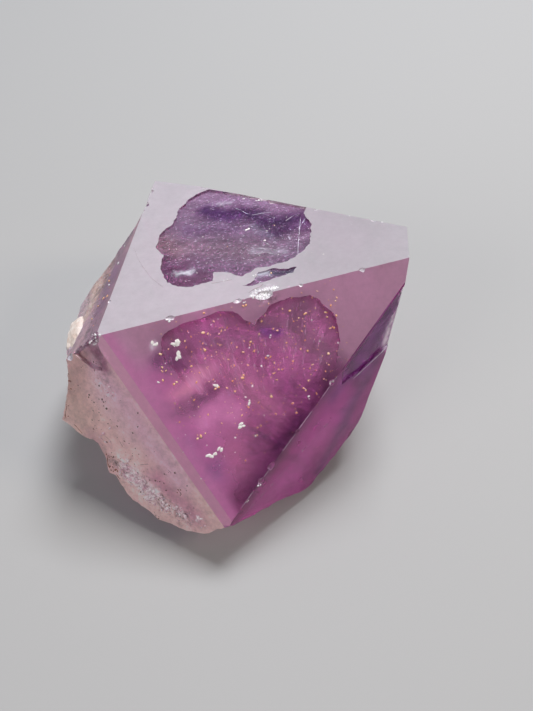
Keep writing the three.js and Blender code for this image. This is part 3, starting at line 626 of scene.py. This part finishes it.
def paint_zones(zone, plane, places):
    """Tint and finish of each zone, and what differs on single faces."""
    tint = np.array([LOOKS[z][0] for z in ZONES])[zone]
    finish = np.array([LOOKS[z][1:] for z in ZONES])[zone]
    right = lies_in(plane, "front_right")
    tint[right & (zone == GROUND)] = RIGHT_TINT
    finish[right & (zone == GROUND)] = RIGHT_FINISH
    finish[right & (zone == WINDOW), 2] = RIGHT_RIPPLE
    top, along, _ = on_part("top", zone == GROUND, plane, places)
    # painted shade: the top face's ground part darkens towards the tip
    tint[top] *= TOP_SHADE_FALL ** step(*TOP_SHADE_BAND, along)[:, None]
    # the broken edge above the front right face takes the lavender of a painted highlight
    foot = (zone == BREAK) & (places[:, 0] > FOOT_BREAK[0]) & (places[:, 2] > FOOT_BREAK[1])
    tint[foot] = FOOT_HIGHLIGHT_TINT
    chips = (zone == CHIP) & (plane_depths(places)[:, NAMES.index("front_right")] < 1)
    tint[chips] = RIDGE_CHIP
    finish[chips, 1] = CHIP_HAZE
    return tint, finish


def paint(mesh, zone, plane):
    """Corner attributes: tint; roughness, haze and ripple as finish; and grain."""
    corner_vert = np.zeros(len(mesh.loops), int)
    mesh.loops.foreach_get("vertex_index", corner_vert)
    places = np.zeros(len(mesh.vertices) * 3)
    mesh.vertices.foreach_get("co", places)
    places = places.reshape(-1, 3) / MM
    shifts = np.array([wander(Vector(p), STROKE_WAVES) for p in places])
    wandered = (places + shifts)[corner_vert]
    places = places[corner_vert]
    sizes = np.zeros(len(mesh.polygons), int)
    mesh.polygons.foreach_get("loop_total", sizes)
    zone = np.repeat(zone, sizes)
    plane = np.repeat(plane, sizes)
    tint, finish = paint_zones(zone, plane, places)
    paint_front(zone, plane, places, tint, finish)
    paint_strokes(zone, plane, wandered, tint, finish)
    paint_ridges(zone, plane, places, tint, finish)
    rough = np.isin(zone, (GROUND, SIDE, WORN, BREAK, RUBBED))
    for face, *line, ripple in ROUGH_PATCHES:
        here, *spots = on_part(face, rough, plane, wandered)
        weight = stroke_weight(*spots, *line)
        finish[here, 2] += (ripple - finish[here, 2]) * weight
    for name, values in (("tint", tint), ("finish", finish)):
        layer = mesh.color_attributes.new(name, "FLOAT_COLOR", "CORNER")
        layer.data.foreach_set("color", np.hstack([values, np.ones((len(values), 1))]).ravel())
    layer = mesh.attributes.new("grain", "FLOAT_VECTOR", "CORNER")
    layer.data.foreach_set("vector", grain_places(zone, plane, places).ravel())


def build_crystal(bm):
    """The crystal: finer, rougher and painted. Material 0 is clear quartz, 1 the milky root."""
    zone_layer, plane_layer = sort_zones(bm)
    refine(bm, zone_layer, plane_layer)
    bm.normal_update()
    bm.verts.index_update()
    warp_outlines(bm)
    shape_details(bm, zone_layer, plane_layer)
    bm.normal_update()
    zone = np.array([f[zone_layer] for f in bm.faces])
    plane = np.array([f[plane_layer] for f in bm.faces])
    for face in bm.faces:
        face.smooth = face[zone_layer] in (WINDOW, WORN, BREAK, ROOT)
        face.material_index = 1 if face[zone_layer] == ROOT else 0
    for edge in bm.edges:
        zones = {f[zone_layer] for f in edge.link_faces}
        sharp = len(zones) > 1 or edge.calc_face_angle(0) > math.radians(SHARP_ANGLE)
        edge.smooth = not sharp
    mesh = bpy.data.meshes.new("crystal")
    bm.to_mesh(mesh)
    paint(mesh, zone, plane)
    return put("crystal", mesh)


# ---- materials ----
QUARTZ_IOR = 1.544
INSIDE_COLOUR, INSIDE_DENSITY = (0.74, 0.04, 0.53, 1), 32  # absorption, for each metre
GLINT_COLOUR = (0.84, 0.74, 0.92, 1)
GLINT_RANGE = (0.56, 0.74)  # of the noise that the glints come from
GRAIN_HEIGHT = 0.09  # mm
LEAST_RIPPLE = 0.12  # of the shade where a face has none
SPOTTED = {  # darker and lighter colour, roughness, and size in mm of the blotches
    "milky_root": ((0.78, 0.6, 0.5), (0.98, 0.9, 0.83), 0.5, 2.4),
    "gold_flecks": ((0.86, 0.36, 0.14), (1, 0.74, 0.46), 0.35, 0.8),
    "pale_flecks": ((0.86, 0.8, 0.76), (1, 0.99, 0.96), 0.3, 0.5),
    "crushed_quartz": ((0.8, 0.76, 0.8), (1, 1, 1), 0.3, 0.4),
    "druse": ((0.72, 0.4, 0.5), (1, 0.93, 0.95), 0.22, 1),
    # this material also draws the painted highlight along the front right window's lip
    "scratches_and_highlight": ((0.74, 0.7, 0.82), (1, 0.98, 1), 0.35, 1.2),
    "cracks": ((0.1, 0.05, 0.09), (0.42, 0.24, 0.24), 0.5, 0.9),
    "iron_specks": ((0.06, 0.03, 0.03), (0.22, 0.11, 0.08), 0.5, 0.6),
    "rust": ((0.14, 0.04, 0.03), (0.44, 0.16, 0.09), 0.7, 0.5),
}
SPOT_RELIEF = 0.1  # mm


class Shader:
    """A material's node tree, built up node by node."""

    def __init__(self, name):
        self.material = bpy.data.materials.new(name)
        self.material.use_nodes = True
        self.tree = self.material.node_tree
        self.principled = self.tree.nodes["Principled BSDF"]

    def plug(self, socket, value):
        if isinstance(value, bpy.types.NodeSocket):
            self.tree.links.new(value, socket)
        else:
            socket.default_value = value

    def node(self, kind, output, settings=None, **inputs):
        node = self.tree.nodes.new("ShaderNode" + kind)
        for name, value in (settings or {}).items():
            setattr(node, name, value)
        for name, value in inputs.items():
            self.plug(node.inputs[int(name[1:]) if name[1:].isdigit() else name.replace("_", " ")], value)
        return node.outputs[output]

    def math(self, operation, a, b):
        return self.node("Math", 0, {"operation": operation}, _0=a, _1=b)

    def attribute(self, name):
        return self.node("Attribute", "Vector", {"attribute_name": name})

    def noise(self, vector, scale, detail=3, roughness=0.5):
        return self.node("TexNoise", 0, Vector=vector, Scale=scale, Detail=detail, Roughness=roughness)

    def bump(self, height, distance, strength=1):
        return self.node("Bump", 0, Height=height, Distance=distance, Strength=strength)

    def set(self, **inputs):
        for name, value in inputs.items():
            self.plug(self.principled.inputs[name.replace("_", " ")], value)
        return self.material


def crystal_material():
    """Violet quartz, whose surface follows the tint, finish and grain attributes."""
    shader = Shader("amethyst")
    plus, minus, times = (partial(shader.math, kind) for kind in ("ADD", "SUBTRACT", "MULTIPLY"))
    tint = shader.attribute("tint")
    grain = shader.attribute("grain")
    parts = shader.tree.nodes.new("ShaderNodeSeparateXYZ")
    shader.plug(parts.inputs[0], shader.attribute("finish"))
    rough, haze, ripple = parts.outputs
    streaks = shader.noise(grain, 1.1, 7, 0.72)
    mottle = shader.noise(grain, 0.45, 3, 0.5)
    relief = plus(times(streaks, 0.65), times(mottle, 0.35))
    share = plus(ripple, LEAST_RIPPLE)
    swing = times(minus(relief, 0.5), share)
    shade = plus(times(swing, 2.6), 1)
    tinted = shader.node("VectorMath", 0, {"operation": "SCALE"}, _0=tint, Scale=shade)
    fine = shader.noise(grain, 3.4, 2, 0.6)
    glints = shader.node("MapRange", 0, Value=fine, From_Min=GLINT_RANGE[0], From_Max=GLINT_RANGE[1])
    glinting = times(glints, times(ripple, 0.42))
    colour = shader.node("Mix", 2, {"data_type": "RGBA"}, _0=glinting, _6=tinted, _7=GLINT_COLOUR)
    colour = shader.node("VectorMath", 0, {"operation": "MINIMUM"}, _0=colour, _1=(1, 1, 1))
    absorb = shader.node("VolumeAbsorption", 0, Color=INSIDE_COLOUR, Density=INSIDE_DENSITY)
    shader.plug(shader.tree.nodes["Material Output"].inputs["Volume"], absorb)
    unevenness = times(minus(mottle, 0.5), 0.12)
    return shader.set(
        Base_Color=colour,
        Roughness=plus(rough, unevenness),
        Transmission_Weight=minus(minus(1, haze), glinting),
        IOR=QUARTZ_IOR,
        Normal=shader.bump(relief, GRAIN_HEIGHT * MM, ripple),
    )


def spotted_material(name):
    """Opaque, in a colour that wanders between two."""
    *colours, rough, size = SPOTTED[name]
    shader = Shader(name)
    place = shader.node("TexCoord", "Object")
    blotches = shader.noise(place, 1 / (size * MM), 4, 0.6)
    ramp = shader.tree.nodes.new("ShaderNodeValToRGB")
    shader.plug(ramp.inputs[0], blotches)
    for element, place, colour in zip(ramp.color_ramp.elements, (0.35, 0.65), colours):
        element.position = place
        element.color = (*colour, 1)
    relief = shader.bump(blotches, SPOT_RELIEF * MM, 0.6)
    return shader.set(Base_Color=ramp.outputs[0], Roughness=rough, Normal=relief)


# ---- grains, crumbs and scratches on the surface ----
# Places on the faces in mm, with each one's length.
PALE_FLECKS = {
    "front": [
        (12.2, -4, 1.7), (11.5, -6.3, 1.3), (8.6, -3.4, 0.9), (16.4, -12.4, 1), (18.6, -19.7, 1.1),
        (7.7, -9.3, 0.6), (22, -13.9, 0.6), (20.4, -15.4, 0.6), (20.8, -16.3, 0.8), (24.2, -11.1, 0.5),
        (25.6, -9.5, 0.6), (22.5, -18.9, 0.5), (30.4, -17.7, 0.6), (26.9, -6.6, 0.5), (22.9, -8, 0.6),
        (20.4, -21.8, 0.5), (17.2, -21.1, 0.6), (12.8, -23.2, 1.2), (14.2, -22.4, 0.9), (13.4, -22.8, 1),
        (37.2, -10.4, 0.5),
    ],
    "top": [(17.9, 10, 0.5), (30.7, 13.8, 0.7), (28.6, 18.1, 1), (27.9, 20, 0.5), (29.4, 4.5, 0.5)],
}
LONE_GOLD_FLECKS = {
    "top": [(24.3, 14.9, 0.3), (29.8, 4.9, 0.5), (21.1, 16, 0.3), (33.6, 17.6, 0.35)],
    "front": [
        (11.3, -19.8, 0.6), (11.9, -19.5, 0.7), (12.7, -19.3, 0.4), (9, -5.2, 0.8), (20.7, -12.2, 0.8),
        (16.4, -3.6, 0.7),
    ],
    "top_side": [
        (10.4, 1.6, 0.7), (10.6, 2.8, 0.7), (9.5, 3.9, 0.6), (15.5, 3.4, 0.7), (17.6, 4.1, 0.5),
        (13, 2.2, 0.35), (6.7, 4.4, 0.5), (4, 2.6, 0.35), (22, 3, 0.35), (12, 5, 0.3),
    ],
}
CRUMBS = {  # middle, spread and number of white crumbs on a face
    "top": [
        (27.3, 0.45, 1.5, 120), (28.9, 0.9, 0.8, 34), (25.6, 0.3, 0.8, 16), (24.2, -0.1, 0.5, 5),
        (11.6, -0.1, 0.6, 5), (0.4, 0.2, 0.5, 7), (33, 26.6, 0.9, 9), (30, 28, 0.8, 4), (47, 14.4, 0.5, 3),
        (49.7, 12.3, 0.5, 3), (51.3, 10.6, 0.4, 2), (46.3, 12.2, 0.3, 1), (44.1, 0.2, 0.3, 2),
        (52.1, 0.3, 0.3, 2), (27, 5, 0.8, 5), (21.8, 5.6, 1.2, 5),
    ],
    "front_side": [(0.4, -1.6, 0.9, 16), (0.3, -9, 0.7, 5), (21, -14.6, 0.4, 2)],
    "top_side": [(0.6, 0.6, 0.6, 5), (14, 2.7, 0.5, 3), (19.8, 2.2, 0.4, 2), (26, 3.4, 0.4, 2)],
    "front_right": [(20.5, 0.1, 0.5, 5), (44, 0.3, 0.5, 4), (41, 0.3, 0.4, 3)],
}
DRUSE = [  # middle, spread and number of small crystals along the lower rim of the front side face
    (20, -12.2, 1.8, 22), (21.8, -12.6, 1.3, 110), (24.4, -11.6, 1.3, 120), (27, -11.4, 1.4, 70),
    (29.5, -9.4, 1.3, 40), (31.5, -7.6, 1.2, 30), (34.5, -4.9, 1.1, 24), (14, -12.4, 2, 10),
    (8.5, -4.6, 1, 8),
]
SCRATCHES = [  # on the top face's window
    [(38.7, 18.1), (37.6, 15), (36.2, 11), (35.1, 7.5)], [(39.6, 17.7), (38.4, 16.2), (37, 14.4)],
    [(37.7, 19.2), (36.4, 18.5), (35.4, 18)], [(29.9, 9), (30.6, 7.9), (31.4, 7.1), (32.7, 6.8)],
    [(29.2, 12.5), (31, 11.6), (32.9, 10.1)], [(30.8, 13.6), (31.4, 12.6), (31.8, 11.4)],
    [(34.2, 20.7), (34.1, 19.8), (33.7, 18.7)], [(35.1, 13.7), (35.2, 12.9), (35, 12)],
    [(26.9, 9.5), (28.2, 9.3), (29.6, 8.8)], [(25.6, 27.9), (26.6, 28.6), (27.8, 28.6)],
    [(28, 25.7), (28.9, 24.6), (29.6, 23.4), (30.6, 22.4)], [(30.4, 22.4), (32.3, 22.2), (34.6, 21.6)],
    [(28.8, 11), (30.3, 10.8), (32, 9.6)],
]
RIGHT_STEP_HIGHLIGHT = [(9.9, 7.4), (17.9, 4.5)]  # painted highlight: a bright thread along the lip of the front right face's window
CRACKS = {  # dark hair cracks: half width share and line
    "top": [
        (0.7, [(25.1, 1.2), (26, 1.7), (27.1, 1.9), (28.2, 2.7)]),
        (0.5, [(26, 2.6), (27.4, 3.1), (28.6, 3.2)]),
        (0.16, [(8.3, 20.1), (8.5, 17.4), (9.1, 14.6), (10.3, 10.7), (12.1, 7.3)]),
        (0.4, [(19.8, 5.7), (21.6, 5.5), (23.6, 5.3)]),
    ],
    "front": [
        (0.6, [(10.9, -19.7), (12, -19.9), (12.6, -19.4)]), (0.35, [(9.6, -14), (10.1, -14.6), (10, -15.2)]),
    ],
    "front_side": [
        (0.6, [(16, -9.6), (17.2, -9.8), (18, -9.4)]), (0.5, [(21.2, -9.4), (21.5, -8.3), (22.1, -6.6)]),
        (0.7, [(28, -4.9), (28.7, -4.7), (29.3, -4.8)]), (0.5, [(14.2, -11.8), (15.4, -11.5), (16.4, -11.9)]),
        (0.5, [(24.2, -4), (24.9, -3.8), (25.4, -4.3)]), (0.8, [(19, -13.2), (20.2, -13.4), (21.4, -13)]),
        (0.6, [(30.2, -9), (31, -8.4), (31.4, -7.6)]),
    ],
    "front_right": [(0.4, [(22.1, 4.1), (22.9, 4.3)]), (0.3, [(29.8, 9.3), (30.9, 8), (31.7, 7.1)])],
}
# Face, u, v, depth, half length, half width, half height and turn.
ROOT_KNOB = ("top_side", 9, 12, 1.7, 4.5, 2.5, 1.7, 25)
GOLD_FLECKS, GOLD_AREA = 420, (8, 39, 0.4, 30)  # number, and from and to u and -v on the front face
# small pale specks over the top and front windows: their number, and where they lie on each face
WINDOW_SPECKS, WINDOW_SPECK_AREAS = 120, {"top": (13, 40, 6, 30), "front": (8, 36, 1, 27)}
IRON_SPECKS = 120
RUBBED_STARTS = (19, 26, 31, 37, 42)  # mm along the front right face: bright scratches on the rubbed ridge
FINE_SCRATCHES = 16
# Least length, what is added to it at most, and the power of the draw: higher gives more small grains.
CRUMB_SIZES, DRUSE_SIZES, RUST_SIZES = (0.16, 0.5, 1.6), (0.22, 0.85, 2), (0.15, 0.35, 1)
RUST_LINES = [  # on the front side face, along its rim
    [(1.7, -10.4), (2.4, -11.3), (3.2, -12.2), (4.6, -13.6)],
    [(6.3, -15.4), (7, -16.6), (7.6, -17.4), (8.4, -17.9)],
    [(16.4, -14), (17.4, -14.5), (18.6, -15.6), (19.8, -15.9)], [(20.8, -15.2), (21.6, -15.3), (22.3, -15.2)],
    [(9.6, -16.7), (10.8, -16.5), (12.2, -16.2)],
]
RUST_MARKS = [
    (1.8, -10.7), (3.3, -11.2), (4, -12.3), (6.3, -15.3), (7.6, -17.6), (17.4, -14.3), (18.9, -15.3),
    (20.1, -15.2), (28.4, -4.9),
]
# Threads: length of a part, ends, height and depth sunk in mm, and least and most share of the width.
THREAD_STEP, THREAD_END, THREAD_HEIGHT, THREAD_SUNK, THREAD_WIDTHS = 0.4, 0.03, 0.03, 0.05, (0.25, 1.2)
GRAIN_WIDTHS, GRAIN_UNEVENNESS = (0.45, 0.85), (0.72, 1.12)  # shares of a grain's length and reach
LAND_HEIGHT = 8  # mm over a face that things come down from
SEEDS = 10**6


def land(face, u, v, toward=None):
    """Where a point over a face comes down, and the surface's direction there."""
    away = Vector(planes[face][0] if toward is None else toward)
    place, normal, _, _ = skin.ray_cast((Vector(on_face(face, u, v)) + LAND_HEIGHT * away) * MM, -away)
    return (None, None) if place is None else (np.array(place) / MM, np.array(normal))


def ball(detail):
    """Corners and triangles of a round grain."""
    mesh = bmesh.new()
    bmesh.ops.create_icosphere(mesh, subdivisions=detail, radius=1)
    corners = np.array([v.co for v in mesh.verts])
    triangles = np.array([[v.index for v in f.verts] for f in mesh.faces])
    mesh.free()
    return corners, triangles


ROUGH_BALL, FINE_BALL = ball(1), ball(2)


class Piece:
    """Small closed shapes gathered into one mesh; places in mm."""

    def __init__(self):
        self.places, self.faces = [], []

    def add(self, places, faces):
        start = len(self.places)
        self.places.extend(places)
        self.faces.extend(tuple(start + int(i) for i in f) for f in faces)

    def crumb(self, place, normal, length, flatness, seed, shape):
        """An angular grain, half sunk into the surface."""
        dice = np.random.default_rng(seed)
        corners, triangles = shape
        side = np.cross(normal, dice.normal(size=3))
        side /= np.linalg.norm(side)
        turned = np.array([side, np.cross(normal, side), normal])
        reach = length / 2 * np.array([1, dice.uniform(*GRAIN_WIDTHS), flatness])
        uneven = dice.uniform(*GRAIN_UNEVENNESS, (len(corners), 1))
        self.add(place + (corners * uneven * reach) @ turned, triangles)

    def scatter(self, face, middle, spread, number, sizes, flatness, shape, chance):
        """Drops a cluster of grains on a face."""
        least, more, power = sizes
        for _ in range(number):
            place, normal = land(face, chance.gauss(middle[0], spread[0]), chance.gauss(middle[1], spread[1]))
            if place is not None:
                length = least + more * chance.random() ** power
                self.crumb(place, normal, length, flatness, chance.randrange(SEEDS), shape)

    def ribbon(self, points, normals, widths, height):
        """A three-sided thread along landed points, pointed at both ends."""
        rings, faces = [], []
        count = len(points)
        for i, (place, normal, width) in enumerate(zip(points, normals, widths)):
            run = points[min(i + 1, count - 1)] - points[max(i - 1, 0)]
            side = np.cross(normal, run)
            side *= width / 2 / np.linalg.norm(side)
            sunk = THREAD_SUNK * normal
            rings += [place - side - sunk, place + side - sunk, place + height * normal]
        for i in range(count - 1):
            for a, b in ((0, 1), (1, 2), (2, 0)):
                faces.append((3 * i + a, 3 * i + b, 3 * i + 3 + b, 3 * i + 3 + a))
        last = 3 * count - 3
        faces += [(2, 1, 0), (last, last + 1, last + 2)]
        self.add(rings, faces)

    def line(self, face, line, wide, chance, toward=None):
        """Lays a thin thread over a face along a line of places."""
        points, normals, widths = [], [], []
        for (u, v), (to_u, to_v) in zip(line, line[1:]):
            parts = max(2, int(math.hypot(to_u - u, to_v - v) / THREAD_STEP))
            for i in range(parts):
                t = i / parts
                place, normal = land(face, u + (to_u - u) * t, v + (to_v - v) * t, toward)
                if place is not None:
                    points.append(place)
                    normals.append(normal if toward is None else toward)
                    widths.append(wide * chance.uniform(*THREAD_WIDTHS))
        if len(points) > 2:
            widths[0] = widths[-1] = THREAD_END
            self.ribbon(points, normals, widths, THREAD_HEIGHT)

    def finish(self, name, material=None):
        """Makes the gathered shapes into an object that rides the crystal."""
        material = material or spotted_material(name)
        mesh = bpy.data.meshes.new(name)
        mesh.from_pydata([tuple(p) for p in np.array(self.places) * MM], [], self.faces)
        mesh.materials.append(material)
        piece = put(name, mesh)
        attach(piece, "root")


def add_flecks(chance):
    """Gold and pale flecks: those at known places, and many small ones."""
    gold, pale = Piece(), Piece()
    from_u, to_u, from_v, to_v = GOLD_AREA
    tries = 0
    while tries < GOLD_FLECKS:
        u, v = chance.uniform(from_u, to_u), -chance.uniform(from_v, to_v)
        if chance.random() > 1.1 * math.exp(-(((v + 9) / 11) ** 2)) * (0.45 + 0.55 * (u > 17)):
            continue  # they lie thickest 9 mm down, and thinner to the left
        tries += 1
        place, normal = land("front", u, v)
        if place is not None and normal @ planes["front"][0] > HOLLOW_WAY:
            length = 0.17 + 0.42 * chance.random() ** 3
            gold.crumb(place, normal, length, 0.5, tries, ROUGH_BALL)
    for face, flecks in LONE_GOLD_FLECKS.items():
        for u, v, length in flecks:
            place, normal = land(face, u, v)
            gold.crumb(place, normal, length, 0.5, int(100 * u), ROUGH_BALL)
    for face, flecks in PALE_FLECKS.items():
        for u, v, length in flecks:
            for _ in range(3 if length > 0.75 else 1):  # a large one is a few splinters
                off = 0.22 * length
                place, normal = land(face, chance.gauss(u, off), chance.gauss(v, off))
                size = length * chance.uniform(0.5, 0.85)
                pale.crumb(place, normal, size, 0.2, chance.randrange(SEEDS), FINE_BALL)
    for i in range(WINDOW_SPECKS):
        face, way = ("front", -1) if i % 2 else ("top", 1)
        from_u, to_u, from_v, to_v = WINDOW_SPECK_AREAS[face]
        place, normal = land(face, chance.uniform(from_u, to_u), way * chance.uniform(from_v, to_v))
        if place is not None and normal @ planes[face][0] > HOLLOW_WAY:
            length = 0.12 + 0.24 * chance.random() ** 2
            pale.crumb(place, normal, length, 0.4, chance.randrange(SEEDS), ROUGH_BALL)
    gold.finish("gold_flecks")
    pale.finish("pale_flecks")


def add_crumbs(chance):
    """Crushed quartz on the damaged spots, and the druse along the lower rim."""
    crushed, druse = Piece(), Piece()
    for face, clusters in CRUMBS.items():
        for u, v, spread, number in clusters:
            spreads = (0.5 * spread, 0.28 * spread)
            crushed.scatter(face, (u, v), spreads, number, CRUMB_SIZES, 0.5, ROUGH_BALL, chance)
    crushed.finish("crushed_quartz")
    for u, v, spread, number in DRUSE:
        spreads = (0.7 * spread, 0.5 * spread)
        druse.scatter("front_side", (u, v), spreads, number, DRUSE_SIZES, 0.8, ROUGH_BALL, chance)
    druse.finish("druse")


def add_scratches(chance):
    """Bright scratches, a painted highlight along the front right window's lip, and dark cracks."""
    scratches_and_highlight, cracks = Piece(), Piece()
    between = right_ridge()
    lines = [(scratches_and_highlight, "top", line, None, 0.22) for line in SCRATCHES]
    for _ in range(FINE_SCRATCHES):
        u, v, turn = chance.uniform(28, 38), chance.uniform(8, 20), chance.uniform(0, math.pi)
        reach = chance.uniform(0.6, 1.6)
        line = [(u, v), (u + reach * math.cos(turn), v + reach * math.sin(turn))]
        lines.append((scratches_and_highlight, "top", line, None, 0.1))
    # painted highlight: a bright thread along the front right window's lip
    lines.append((scratches_and_highlight, "front_right", RIGHT_STEP_HIGHLIGHT, None, 0.32))
    for start in RUBBED_STARTS:
        reach = chance.uniform(3, 6)
        lines.append((scratches_and_highlight, "front_right", [(start, 0), (start + reach, 0)], between, 0.09))
    for face, group in CRACKS.items():
        lines += [(cracks, face, line, None, 0.4 * share) for share, line in group]
    for piece, face, line, toward, wide in lines:
        piece.line(face, line, wide, chance, toward)
    scratches_and_highlight.finish("scratches_and_highlight")
    cracks.finish("cracks")


def add_iron(chance):
    """Dark specks and rust on the front side face."""
    specks, rust = Piece(), Piece()
    for i in range(IRON_SPECKS):
        u = chance.uniform(2, 33)
        near_rim = chance.random() < 0.6
        v = -chance.uniform(0.5, 1) * min(14, 4 + 0.9 * u) if near_rim else -chance.uniform(2, 13)
        place, normal = land("front_side", u, v)
        if place is not None and normal @ planes["front_side"][0] > WALL_WAY:
            specks.crumb(place, normal, 0.16 + 0.38 * chance.random() ** 2, 0.3, i, ROUGH_BALL)
    for middle in RUST_MARKS:
        rust.scatter("front_side", middle, (0.3, 0.4), 5, RUST_SIZES, 0.25, FINE_BALL, chance)
    for line in RUST_LINES:
        rust.line("front_side", line, 0.5, chance)
    specks.finish("iron_specks")
    rust.finish("rust")


def add_root_knob(material):
    """A rounded lump of milky quartz where the top side face breaks away."""
    name, u, v, depth, long, wide, high, turn = ROOT_KNOB
    _, along, across = axes[name]
    normal = planes[name][0]
    turn = math.radians(turn)
    forward = along * math.cos(turn) + across * math.sin(turn)
    sideways = np.cross(normal, forward)
    corners, triangles = ball(5)
    square = (np.abs(corners) ** 2.6).sum(1) ** (-1 / 2.6)  # between a ball and a block
    rough = np.array([1 + 0.13 * fractal(c * 4, 2.6) + 0.04 * fractal(c * 4, 0.9) for c in corners])
    corners = corners * (square * rough)[:, None] * (long, wide, high)
    knob = Piece()
    middle = on_face(name, u, v) - depth * normal
    knob.add(middle + corners @ np.array([forward, sideways, normal]), triangles)
    knob.finish("milky_root", material)


# ---- stage ----
FLOOR_HALF = 3  # m
FLOOR_DROP = 0.02  # mm under the crystal
FLOOR_COLOUR, FLOOR_ROUGHNESS = (0.44, 0.44, 0.435, 1), 0.7
SKY_COLOUR, SKY_STRENGTH = (0.85, 0.9, 1, 1), 0.2
LIGHTS_AIM = Vector((0, 0, 0.018))
SOFTBOXES = {  # direction, distance and side in m, power in W and colour
    "window_light": ((0.2, 0.45, 0.87), 0.9, 0.34, 8.2, (0.95, 0.96, 1)),
    "warm_light": ((0.8, -0.1, 0.6), 0.7, 0.2, 1, (1, 0.84, 0.66)),
    "fill_light": ((-0.75, -0.6, 0.45), 0.8, 0.4, 1.7, (1, 0.94, 0.9)),
}


def add_floor():
    mesh = bpy.data.meshes.new("floor")
    half, z = FLOOR_HALF, -FLOOR_DROP * MM
    corners = [(-half, -half, z), (half, -half, z), (half, half, z), (-half, half, z)]
    mesh.from_pydata(corners, [], [(0, 1, 2, 3)])
    floor = put("floor", mesh)
    mesh.materials.append(Shader("floor").set(Base_Color=FLOOR_COLOUR, Roughness=FLOOR_ROUGHNESS))


def add_lights():
    for name, (direction, distance, side, power, colour) in SOFTBOXES.items():
        data = bpy.data.lights.new(name, "AREA")
        data.shape = "RECTANGLE"
        data.size = data.size_y = side
        data.energy = power
        data.color = colour
        light = put(name, data)
        away = Vector(direction).normalized()
        light.location = LIGHTS_AIM + away * distance
        light.rotation_euler = away.to_track_quat("Z", "Y").to_euler()
    world = bpy.data.worlds.new("studio")
    world.use_nodes = True
    background = world.node_tree.nodes["Background"]
    background.inputs["Color"].default_value = SKY_COLOUR
    background.inputs["Strength"].default_value = SKY_STRENGTH
    bpy.context.scene.world = world


PLACE_SEED = 7
WELD = 1e-7  # m: CAD points closer than this are one

add_camera()
bm = bmesh.new()
bm.from_mesh(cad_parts[CRYSTAL].data)
bmesh.ops.remove_doubles(bm, verts=bm.verts, dist=WELD)
drop_short_edges(bm)
bm.normal_update()
planes = find_planes(bm)
ridge_foot = corner("top", "front", "top_side")
tip_corner = corner("top", "front", "right")
right_corner = corner("front", "front_right", "right")
front_foot = corner("front", "front_right", "front_side")
back_foot = corner("top", "back", "top_side")
ends = {
    "top": (ridge_foot, tip_corner),
    "front": (ridge_foot, tip_corner),
    "front_right": (right_corner, front_foot),
    "top_side": (ridge_foot, back_foot),
    "front_side": (ridge_foot, front_foot),
}
axes = {name: face_axes(name, *pair) for name, pair in ends.items()}
crystal = build_crystal(bm)
bm.free()
for material in (crystal_material(), spotted_material("milky_root")):
    crystal.data.materials.append(material)
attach(crystal, "root")
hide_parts(CRYSTAL)
corners, polygons = crystal.data.vertices, crystal.data.polygons
skin = BVHTree.FromPolygons([v.co for v in corners], [p.vertices for p in polygons])
chance = random.Random(PLACE_SEED)
add_flecks(chance)
add_crumbs(chance)
add_scratches(chance)
add_iron(chance)
add_root_knob(crystal.data.materials[1])

add_floor()
add_lights()
bpy.context.scene.view_settings.view_transform = "Standard"
